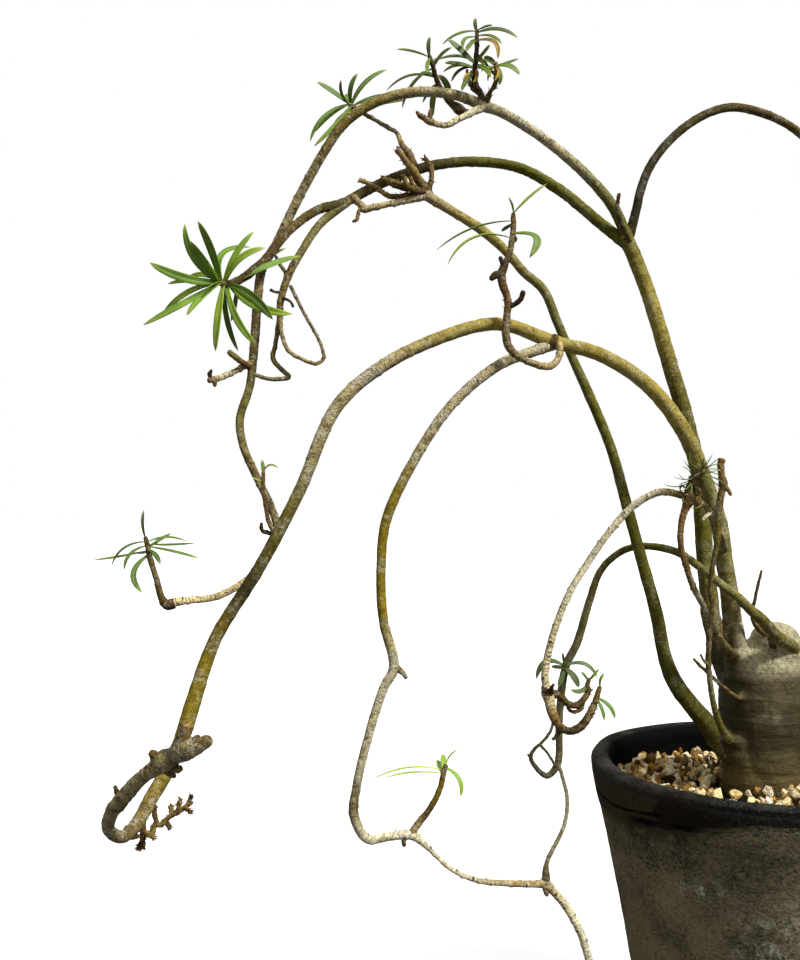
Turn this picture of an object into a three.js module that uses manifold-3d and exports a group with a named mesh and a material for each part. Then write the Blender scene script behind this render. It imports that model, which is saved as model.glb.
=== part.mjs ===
// A balsam spurge in its pot: a thick short trunk, long bare arching stems, and a few tufts of narrow leaves.
// Millimetres, +Z up. The origin is the middle of the pot's foot, +X is to the right of somebody looking at
// the plant's best side, and +Y points away from them.
import * as THREE from "three";
import { mergeVertices } from "three/addons/utils/BufferGeometryUtils.js";
import Module from "manifold-3d";

const wasm = await Module();
wasm.setup();

// Driving dimensions of the pot and its filling.
const POT_HEIGHT = 143;
const FOOT_RADIUS = 46.5;
const LIP_RADIUS = 74; // where the thick hand-thrown lip is fullest
const LIP_DEPTH = 20; // how far the lip band reaches down the side
const LIP_STEP = 1.4; // how far the band stands out of the body
const LIP_WALL = 9;
const FLOOR = 9;
const DRAIN_HOLES = 3;
const DRAIN_RADIUS = 4.5;
const DRAIN_RING = 19;
const NET_RADIUS = 29;
const NET_THICK = 1;
const NET_SIDES = 24;
const NET_PITCH = 9;
const NET_OPENING = 6;
const SOIL_TOP = 118;
const GRIT_TOP = 128.5;
const GRAIN_SPACING = 12.6;
const GRAIN_RADIUS = 7;
const GRAIN_JITTER = 2.4; // how far grains lie from their places in the rows
const GRAIN_DROP = 1.6;
const GRAIN_SCALES = [0.82, 1.12]; // smallest and largest grain as shares of the grain radius
const TRUNK_CLEARING = 13; // the middle, where the trunk stands, has no grains
const GAP = 0.3; // between pieces that touch

// Stems are tubes with a few flat sides; leaves are thin blades with a lozenge section.
const SIDES_BY_RADIUS = [
  [6, 10],
  [4.4, 8],
  [2.4, 6],
  [0.95, 5],
  [0, 4],
]; // a run whose fullest radius is above the first number has as many sides as the second
const LEAF_THICK = 1.1;
const LEAF_RINGS = 3;
const SHORT_LEAF = 17; // a leaf up to this length has one ring fewer
const LEAF_TIP = 0.4; // half the width of the blunt tip
const LEAF_BASE_SHARE = 0.3; // width at the root as a share of the full width
const LEAF_SWELL_SHARE = 0.75; // how much the middle adds to that
const LEAF_RECURVE = 0.09; // how far a blade's middle stands towards its face along Y, as a share of its length

// A closed geometry as a manifold solid.
function solid(geometry) {
  geometry.deleteAttribute("normal");
  geometry.deleteAttribute("uv");
  const merged = mergeVertices(geometry, 1e-4);
  return new wasm.Manifold(
    new wasm.Mesh({
      numProp: 3,
      vertProperties: merged.attributes.position.array,
      triVerts: new Uint32Array(merged.index.array),
    }),
  );
}

// The largest body of a solid, as cutting can leave scraps.
function largest(made) {
  return made.decompose().sort((a, b) => b.volume() - a.volume())[0];
}

const join = (solids) => wasm.Manifold.union(solids);

// A generator of the same pseudo-random numbers each time, from 0 to 1.
function seeded(seed) {
  let state = seed;
  return () => {
    state = (state * 16807) % 2147483647;
    return state / 2147483647;
  };
}

// A tube along stations of [x, y, z, radius]. A swell fattens and lengthens it, to cut clearance in a neighbour.
function stem(stations, swell = 0) {
  const line = new THREE.CatmullRomCurve3(
    stations.map(([x, y, z]) => new THREE.Vector3(x, y, z)),
    false,
    "centripetal",
  );
  const spans = stations.length - 1;
  const widest = Math.max(...stations.map((station) => station[3]));
  const sides = SIDES_BY_RADIUS.find(([above]) => widest > above)[1];
  const tube = new THREE.CylinderGeometry(1, 1, 1, sides, spans);
  const place = tube.attributes.position;
  const normals = [new THREE.Vector3(0.3, 1, 0.2)];
  for (let ring = 0; ring <= spans; ring++) {
    const tangent = line.getTangent(ring / spans);
    const normal = normals.at(-1).clone();
    normals.push(normal.addScaledVector(tangent, -normal.dot(tangent)).normalize());
  }
  for (let i = 0; i < place.count; i++) {
    const ring = Math.round((0.5 - place.getY(i)) * spans);
    const radius = stations[ring][3] + swell;
    const tangent = line.getTangent(ring / spans);
    const normal = normals[ring + 1];
    const end = ring === 0 ? -swell : ring === spans ? swell : 0;
    const spot = line
      .getPoint(ring / spans)
      .addScaledVector(tangent, end)
      .addScaledVector(normal, place.getX(i) * radius)
      .addScaledVector(new THREE.Vector3().crossVectors(tangent, normal), place.getZ(i) * radius);
    place.setXYZ(i, spot.x, spot.y, spot.z);
  }
  return solid(tube);
}

// A direction from a clock angle in the picture plane (0 right, 90 up) and a lean towards the viewer, in degrees.
function pointing(clock, toward) {
  const c = THREE.MathUtils.degToRad(clock);
  const t = THREE.MathUtils.degToRad(toward);
  return new THREE.Vector3(Math.cos(t) * Math.cos(c), -Math.sin(t), Math.cos(t) * Math.sin(c));
}

// One narrow blade from a point on its shoot, flat above with a keel beneath. Its row is [height up the shoot
// from 0 to 1, clock, toward, length, sideways bow, width], and its flat face looks along the shoot's facing.
function leaf(facing, [, clock, toward, length, bow, width], root) {
  const chord = pointing(clock, toward);
  const face = facing.clone().addScaledVector(chord, -facing.dot(chord)).normalize();
  const across = new THREE.Vector3().crossVectors(chord, face);
  const line = new THREE.QuadraticBezierCurve3(
    root,
    root
      .clone()
      .addScaledVector(chord, length / 2)
      .addScaledVector(pointing(clock + 90, 0), 2 * bow)
      .add(new THREE.Vector3(0, 2 * LEAF_RECURVE * length * face.y, 0)),
    root.clone().addScaledVector(chord, length),
  );
  const blade = new THREE.CylinderGeometry(1, 1, 1, 3, length > SHORT_LEAF ? LEAF_RINGS : LEAF_RINGS - 1);
  const place = blade.attributes.position;
  for (let i = 0; i < place.count; i++) {
    const t = 0.5 + place.getY(i);
    const swell = LEAF_SWELL_SHARE * Math.sin(Math.PI * Math.pow(t, 0.75)); // fullest nearer the root
    const half = Math.max((width / 2) * (LEAF_BASE_SHARE + swell), LEAF_TIP);
    const spot = line
      .getPoint(t)
      .addScaledVector(across, (-place.getX(i) * half) / Math.cos(Math.PI / 6))
      .addScaledVector(face, -place.getZ(i) * LEAF_THICK * 0.67);
    place.setXYZ(i, spot.x, spot.y, spot.z);
  }
  return solid(blade);
}

// Bare wood, as stations of [x, y, z, radius]. "on" names what a stem grows from or passes close to.
const WOOD = {
  trunk: {
    colour: 0x6b5f45,
    on: [],
    runs: [
      [[2, 0, 98, 8], [2, 0, 116, 13], [1, 0, 130, 15.4], [1, 0, 145, 17.8], [1, 0, 160, 18.9], [1, 0, 175, 18.2], [0, -1, 186, 16.5], [-1, -1, 195, 13]],
      [[-5, -2, 176, 11], [-10, -5, 184, 7.6], [-12.5, -7, 191, 5.6], [-14, -9, 200, 4.5], [-15, -10, 207, 3.8]],
      [[-6, 2, 176, 11], [-13, 4, 185, 7], [-17, 4.5, 192, 5.4], [-18.5, 5, 198, 4.8], [-19.5, 6, 204, 4]],
      [[4, -2, 178, 12], [7, -4, 192, 10.5], [8, -5, 200, 9], [8, -5, 204, 5.5]],
      [[0, -1, 118, 13], [-3, -2, 130, 14], [-7, -4, 140, 11.5], [-12, -6.5, 147, 8.4], [-18, -8.5, 151.5, 5.8], [-25, -10, 158, 4.2]],
      [[6, 0, 178, 9], [13, -5, 188, 5], [14, -8, 192, 3.4]],
      [[-4, -2, 112, 5.5], [-14, -6, 102, 4.8], [-32, -12, 88, 3]],
      [[6, -4, 112, 5.5], [16, -12, 100, 4.6], [28, -24, 84, 3]],
      [[3, 6, 112, 5.5], [7, 18, 100, 4.8], [10, 34, 84, 3]],
      [[-8, -8, 170, 1.6], [-16, -16, 173, 1.1], [-21, -15, 177, 1], [-25, -11, 181, 0.9], [-28, -8, 184, 0.8]],
      [[2, -9, 196, 1.6], [-8, -15, 205, 1], [-8, -19, 217, 0.9], [-6, -20, 227, 0.8]],
      [[6, -10, 190, 1.6], [0, -15, 195, 1.2], [-2, -17, 199, 0.9]],
    ],
  },
  front_arch_stem: {
    colour: 0x8f8450,
    on: ["trunk"],
    runs: [
      [
        [-14, -8, 196, 4.3], [-15, -9, 204, 4.1], [-17, -12, 215, 3.9], [-20, -14, 231, 3.6], [-23, -16, 247, 3.6],
        [-31, -18, 268, 3.6], [-38, -20, 284, 3.4], [-54, -23, 304, 3.1], [-75, -26, 317, 2.9], [-95, -29, 322, 2.9],
        [-118, -32, 329, 2.7], [-142, -36, 323, 2.6], [-167, -40, 310, 2.6], [-184, -44, 294, 2.6], [-198, -50, 261, 2.4],
        [-212, -56, 233, 2.4], [-229, -64, 204, 2.5], [-236, -72, 181, 3], [-239, -78, 169, 2.9], [-243, -88, 159, 2.7],
        [-246, -96, 153, 2.5], [-249, -104, 147, 2.3], [-252, -110, 145, 2.1], [-255, -115, 149, 2.1], [-253, -120, 156, 2.3],
        [-249, -124, 161, 2.6], [-244, -128, 167, 2.4], [-239, -132, 172, 2.2], [-234.5, -134.5, 175.5, 2.7],
        [-232, -136, 177.5, 3.5], [-229, -137.5, 179.5, 2.7], [-225, -140, 182, 3.4], [-221, -142, 184.5, 3.3],
        [-218, -143, 186.5, 1.9], [-216, -144, 187.5, 1.1],
      ],
      [[-225, -140, 183, 2.5], [-223.6, -141, 187.5, 1.9], [-222.8, -142, 190.6, 1.3]],
      [[-231, -134, 177, 2], [-228, -135, 174.6, 1.3], [-226.6, -135, 175.4, 0.8]],
      [[-233, -133, 175, 1.8], [-230.4, -133, 172.6, 1.1], [-229, -133, 171.6, 0.7]],
      [[-94, -29, 321, 2], [-96, -30, 322, 3.8], [-98, -31, 323, 2]],
      [[-251, -120, 158, 1.4], [-250, -122, 162, 1], [-251, -123, 166, 0.7]],
      [[-235, -132, 174, 2], [-236, -134, 178, 1.3]],
      [[-251, -107, 147, 1.6], [-250, -104, 143, 1.1], [-248, -103, 143, 0.8]],
    ],
  },
  lower_branch_stem: {
    colour: 0xb9ab82,
    on: ["front_arch_stem"],
    runs: [
      [
        [-95, -29, 321, 2.4], [-106, -33, 317, 2.3], [-118, -36, 312, 2.2], [-138, -42, 295, 2], [-154, -48, 271, 2],
        [-164, -52, 249, 2], [-166, -55, 230, 1.9], [-165, -58, 211, 1.9], [-161, -60, 193, 2], [-165, -61, 185, 1.8],
        [-171, -63, 166, 1.7], [-175, -64, 149, 1.7], [-176, -65, 138, 1.9], [-171, -65, 129, 1.8], [-162, -65, 130, 1.6],
        [-154, -64, 130, 1.9], [-147, -63, 124, 1], [-139, -61, 116, 0.9], [-129, -59, 111, 1], [-116, -57, 109, 1.25],
        [-105, -55, 108, 1.4], [-102, -55, 108, 2.1], [-99, -54.5, 105, 1.6], [-94, -54, 99, 1.6], [-88, -54, 88, 1.6],
        [-85, -55, 78, 1.6], [-82, -57, 64, 1.5],
        [-77, -61, 51, 1.5], [-68, -68, 46, 1.4], [-59, -76, 49, 1.2],
      ],
      [[-161, -60, 193, 1.7], [-158, -60, 191.5, 1.1], [-156, -59, 188.5, 0.8]],
      [[-155, -64, 130, 1.4], [-157, -65, 129, 1], [-157, -65, 126, 0.8]],
      [[-102, -55, 108, 1.6], [-102, -56, 105.4, 1.1], [-101.6, -57, 104, 0.8]],
    ],
  },
  hooked_shoot: {
    colour: 0x7d6a48,
    on: ["front_arch_stem", "lower_branch_stem"],
    runs: [
      [
        [-93, -31, 321, 1.6], [-94, -36, 315, 1.4], [-98, -39, 311, 1.4], [-106, -42, 312, 1.4], [-114, -42, 317, 1.6],
        [-116, -41, 323, 1.6], [-115, -38, 338, 1.5], [-117, -36, 345, 1.7], [-117, -35, 350, 1.8], [-115, -34, 354, 1.3],
      ],
      [[-117, -35, 349, 1.4], [-120, -37, 348, 1.7], [-122, -38, 346, 1]],
      [[-116, -35, 351, 1], [-118, -36, 356, 0.8]],
      [[-115, -38, 335, 1.2], [-112, -40, 336, 1], [-110, -41, 338, 1], [-109, -42, 341, 1]],
    ],
  },
  tall_stem: {
    colour: 0x6f6a3c,
    on: ["trunk"],
    runs: [
      [
        [-17, 5, 194, 4.6], [-20, 6, 205, 4.2], [-20, 7, 211, 4], [-21, 9, 225, 3.8], [-22, 10, 242, 3.8], [-23, 11, 265, 3.8],
        [-27, 12, 283, 3.6], [-31, 13, 300, 3.6], [-35, 14, 314, 3.6], [-44, 16, 346, 3.4], [-52, 18, 369, 3.4], [-55, 19, 376, 3.4],
        [-56, 19, 378, 2.6],
      ],
      [[-54, 16, 374, 1.4], [-59, 10, 381, 1.1], [-61, 9, 387, 0.9], [-60, 9, 394, 0.8]],
    ],
  },
  upper_arch_stem: {
    colour: 0x857a52,
    on: ["tall_stem"],
    runs: [
      [
        [-54, 19, 376, 2.7], [-62, 17, 391, 2.5], [-77, 13, 406, 2.3], [-96, 7, 419, 2.2], [-114, 2, 428, 2.2], [-122, 0, 430, 2.5],
        [-132, -3, 433, 2.2], [-146, -6, 434, 2.2], [-159, -8, 432, 2.2], [-172, -9, 427, 2.2], [-183, -9, 419, 2.2], [-191, -8, 408, 2],
        [-200, -6, 393, 2], [-207, -4, 380, 2], [-213, -3, 368, 2], [-219, -2, 358, 2], [-221, -3, 344, 2], [-222, -4, 328, 2],
        [-224, -6, 306, 1.8], [-228, -8, 291, 1.8], [-226, -10, 279, 1.7], [-220, -12, 266, 1.7], [-214, -14, 254, 1.7], [-211, -16, 244, 1.7],
        [-215, -18, 232, 1.7], [-223, -20, 223, 1.6], [-236, -23, 216, 1.5], [-246, -26, 215, 1.5], [-253, -28, 214, 2], [-256, -29, 212, 1],
      ],
      [
        [-122, -1, 429, 1.9], [-128, -8, 424, 1.5], [-134, -11, 420, 1.3], [-139, -13, 417, 1.3], [-143.5, -14, 417.4, 1.2],
        [-146, -14, 418.4, 1.7], [-148, -14.6, 419.4, 1.2], [-150.5, -15, 420.6, 1.3],
      ],
      [[-145, -14, 418, 1], [-146, -15, 421.4, 0.8], [-145, -15, 423.4, 0.7]],
      [
        [-222, -5, 316, 1.8], [-226, -7.5, 314.6, 1.7], [-229, -8.5, 312.6, 1.2], [-232, -10, 310.8, 1.2],
        [-235, -11.5, 309.4, 1.4], [-238.6, -13, 308, 1.4], [-241, -14, 307.4, 1.1],
      ],
      [[-239, -13, 307.4, 1.3], [-240, -13, 310, 0.9], [-239.4, -13, 312.4, 0.7]],
      [[-238, -13, 307.4, 1.1], [-238, -13, 304.8, 0.7]],
      [[-224, -7, 314, 1.5], [-227, -11, 316, 1.2], [-229, -12.6, 317.6, 1.4], [-232, -15, 320, 1.2]],
      [[-213, -17, 242, 1], [-217, -20, 244, 0.8], [-217, -20, 247, 0.7]],
    ],
  },
  middle_arch_stem: {
    colour: 0x7a7150,
    on: ["tall_stem", "upper_arch_stem"],
    runs: [
      [
        [-55, 20, 374, 2.8], [-66, 28, 386, 2.6], [-83, 36, 403, 2.6], [-101, 42, 415, 2.4], [-120, 42, 418, 2.4], [-140, 36, 415, 2.4],
        [-158, 26, 407, 2.3], [-172, 16, 398, 2.3], [-184, 7, 389, 2.2], [-195, 0, 384, 2], [-206, -10, 373, 1.9], [-217, -18, 357, 1.9],
        [-224, -22, 350, 1.9],
      ],
      [[-182, 8, 390, 2.1], [-194, 1, 378, 1.8], [-201, -4, 366, 1.7], [-207, -9, 353, 1.7], [-210, -12, 341, 1.5], [-210, -13, 333, 1.3]],
      [
        [-206, -9, 349, 1], [-200, -14, 337, 0.9], [-192, -18, 322, 0.9], [-191, -20, 316, 0.9], [-194, -21, 314, 0.9],
        [-200, -20, 316, 0.9], [-206, -17, 320, 1.1], [-209, -15, 327, 1.1], [-210, -13, 335, 1.1],
      ],
      [
        [-210, -13, 336, 1.2], [-212, -13, 323, 0.9], [-213, -13, 317, 1.1], [-209, -14, 312, 1], [-206, -15, 309, 1.1],
        [-214, -16, 308, 0.9], [-221, -17, 310, 0.8],
      ],
      [[-209, -11, 346, 1], [-214, -13, 346, 0.8]],
      [[-210, -12, 343, 1], [-206, -14, 341, 0.8], [-205, -15, 338, 0.8]],
      [[-209, -10, 347, 0.9], [-208, -8, 354, 0.8], [-211, -6, 359, 0.8], [-213, -5, 363, 0.7]],
    ],
  },
  right_arch_stem: {
    colour: 0x6d6640,
    on: ["tall_stem", "upper_arch_stem", "middle_arch_stem"],
    runs: [
      [
        [-54, 20, 374, 2.4], [-50, 20, 389, 2.1], [-48, 20, 398, 2], [-43, 22, 410, 2], [-33, 25, 423, 2], [-18, 29, 435, 2], [-3, 33, 441, 2],
        [13, 37, 440, 2], [29, 40, 434, 1.9], [43, 40, 421, 1.9], [51, 36, 404, 1.8], [56, 30, 384, 1.7], [57, 24, 368, 1.5],
      ],
    ],
  },
  left_side_stem: {
    colour: 0x6f6a3c,
    on: ["trunk", "bare_front_shoot"],
    runs: [
      [
        [-15, -8, 146, 5], [-20, -9, 151, 4.6], [-27, -10, 161, 4.1], [-33, -10, 168, 3.7], [-40, -9, 178, 3.5], [-44, -8, 189, 3],
        [-47, -7, 206, 2.8], [-52, -5, 226, 2.6], [-59, -4, 252, 2.4], [-66, -2, 279, 2.2], [-75, 0, 302, 2.2], [-82, 1, 318, 2], [-89, 2, 335, 2],
        [-95, 2, 349, 2], [-104, 1, 357, 2], [-112, 0, 366, 2], [-123, -2, 375, 2.2], [-135, -4, 382, 2], [-147, -6, 389, 2.4], [-149, -6, 391, 1.4],
      ],
      [
        [-146, -6, 389, 1.9], [-156, -8, 386, 1.4], [-165, -9, 384, 1.3], [-171, -10, 382.4, 1.4], [-174, -10, 382, 1.9],
        [-176, -10, 384, 1.4], [-178, -9.6, 386.4, 1.5], [-180, -9, 388.4, 1],
      ],
      [[-175, -10, 383, 1.1], [-176.6, -11, 380, 0.8], [-177, -12, 377, 0.7], [-179, -13, 375.6, 0.7]],
    ],
  },
  dead_twig_cluster: {
    colour: 0x5d4a2c,
    on: ["left_side_stem", "middle_arch_stem"],
    runs: [
      [
        [-146, -5, 389, 2.2], [-148, -6, 392, 2.3], [-151, -8, 396, 1.6], [-153, -9.5, 398.6, 1.9], [-156, -11, 402, 1.3],
        [-160, -13, 407, 1.5],
      ],
      [[-147, -4, 390, 1.5], [-145, -3, 396, 1.1], [-145, -3, 402, 1], [-148, -4, 406, 0.9]],
      [[-148, -6, 390, 1.3], [-153, -10, 392, 0.9], [-154, -11, 395, 0.8]],
      [[-148, -7, 390, 1.3], [-155, -12, 391, 1], [-157, -14, 395, 0.8]],
      [[-148, -5, 391, 1.3], [-156, -5, 392, 1], [-162, -5, 394, 0.9], [-166, -5, 397, 0.8]],
      [[-150, -5, 390, 1.2], [-157, -5, 389, 1.1], [-163, -4, 389, 1.1], [-168, -4, 392, 1], [-173, -4, 395, 0.9], [-176, -4, 396, 0.9]],
    ],
  },
  bare_front_shoot: {
    colour: 0x7c6f4a,
    on: ["trunk"],
    runs: [
      [
        [-7, -7, 149, 2.8], [-14, -12, 152, 2.2], [-20, -18, 156, 1.9], [-26, -25, 164, 1.6], [-31, -30, 174, 1.4], [-33, -32, 183, 1.4],
        [-34, -33, 193, 1.2], [-33, -34, 203, 1.1], [-31, -34, 214, 0.9], [-32, -34, 220, 0.9], [-31, -34, 229, 1], [-29, -34, 240, 1.2],
        [-28, -33, 253, 1.4], [-26.6, -32, 260, 1.4], [-26, -32, 263.4, 1.9], [-26.4, -31.6, 267, 1.4], [-26.6, -31, 271, 1.4],
        [-26, -31, 274, 1.8],
      ],
      [[-26, -32, 263, 1.3], [-24, -33, 260.6, 0.8], [-23.4, -34, 258.6, 0.7]],
    ],
  },
  looping_stem: {
    colour: 0x67663a,
    on: ["trunk"],
    runs: [
      [
        [12, -4, 188, 3], [10, -12, 193, 2.9], [-1, -22, 200, 2.5], [-10, -30, 208, 2.4], [-15, -32, 212, 2.1], [-20, -32, 217, 1.9],
        [-25, -30, 221, 1.7], [-29, -26, 225, 1.7], [-32, -21, 228, 1.7], [-37, -8, 233, 1.7], [-43, 4, 235, 1.7], [-50, 12, 235, 1.6],
        [-57, 20, 232, 1.6], [-65, 26, 223, 1.6], [-70, 30, 207, 1.8], [-75, 33, 188, 1.9], [-80, 34, 177, 1.9], [-82, 35, 165, 1.9],
        [-83, 36, 149, 1.7], [-84, 35, 130, 1.7], [-89, 34, 125, 1.4], [-95, 33, 130, 1.2], [-97, 32, 134, 1.1], [-91, 32, 141, 0.9],
        [-86, 33, 150, 0.8],
      ],
      [[-97, 32, 133, 0.9], [-96, 31, 140, 0.8], [-92, 31, 143, 0.8]],
    ],
  },
  brown_shoot: {
    colour: 0x74613f,
    on: ["trunk", "front_arch_stem"],
    runs: [
      [
        [-3, -4, 180, 3], [-10, -8, 186, 2.6], [-17, -14, 191, 2.1], [-23, -19, 197, 1.7], [-28, -23, 204, 1.5], [-32, -26, 212, 1.3], [-37, -29, 220, 1.3],
        [-41, -31, 230, 1.3], [-43, -31, 238, 1.3], [-43, -31, 246, 1.3], [-41, -30, 253, 1.6], [-39, -28, 258, 2.4], [-38, -28, 264, 1.8],
      ],
      [[-19, -14, 232, 1.4], [-23, -22, 241, 1.1], [-28, -26, 249, 1.1], [-32, -28, 254, 1.2], [-38, -28, 258, 1.4]],
      [[-27, -26, 249, 0.9], [-30, -32, 251, 0.8], [-33, -34, 248, 0.7]],
    ],
  },
  pale_shoot: {
    colour: 0xcbbd97,
    on: ["brown_shoot"],
    runs: [
      [
        [-39, -28, 258, 1.5], [-50, -26, 260, 1.5], [-60, -24, 255, 1.5], [-70, -22, 244, 1.5], [-79, -21, 231, 1.5], [-87, -21, 218, 1.5],
        [-93, -22, 204, 1.5], [-97, -23, 190, 1.6], [-98, -24, 183, 1.6], [-97.5, -24.4, 179, 1.8], [-97, -25, 176.4, 2.9],
        [-96.4, -26, 173, 2.2], [-95.6, -28, 169, 2.1], [-94, -30, 165, 1.7], [-90, -32, 162, 1.6], [-85, -34, 164, 1.7],
        [-81, -35, 170, 1.6], [-79, -35, 175, 1.2],
      ],
      [[-96, -25, 176, 2.1], [-92, -24, 175, 1.5], [-88, -22, 171, 1.4], [-84, -20, 170, 1.4], [-80, -18, 173, 1.3], [-78, -17, 176, 0.9]],
      [[-92, -31, 164, 1.2], [-94, -31, 160, 0.8], [-96, -31, 158, 0.7]],
      [[-81, -18, 173, 1], [-82, -19, 168, 0.8], [-86, -19, 167, 0.7], [-88, -19, 169, 0.7]],
    ],
  },
  wiry_shoot: {
    colour: 0x8c8672,
    on: ["lower_branch_stem"],
    runs: [
      [[-102, -55, 108.4, 1.8], [-101.6, -53, 111, 1.5], [-101, -50, 114, 1], [-92, -37, 125, 0.9], [-89, -26, 132, 0.9], [-89, -12, 138, 0.9], [-89, -2, 140, 0.8]],
    ],
  },
  dry_spray: {
    colour: 0x6b4f24,
    on: ["front_arch_stem"],
    runs: [
      [[-246, -92, 153, 1.3], [-245, -91, 146, 1], [-244, -91, 143, 1], [-241, -90, 145, 1], [-239, -88, 146, 1.1], [-236, -86, 148, 0.8]],
      [[-240, -89, 146, 0.9], [-240, -87, 149, 0.7]],
      [[-238, -87, 147, 0.9], [-237, -88, 151, 0.7]],
    ],
  },
  drooping_dry_spray: {
    colour: 0x6b4f24,
    on: ["front_arch_stem", "dry_spray"],
    runs: [
      [[-248, -97, 151, 1.3], [-248, -98, 145, 1], [-248, -98, 142, 1.1], [-248, -98, 137, 0.8]],
      [[-248, -98, 143, 1], [-245, -99, 142, 1], [-244, -99, 145, 0.7]],
    ],
  },
};

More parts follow.
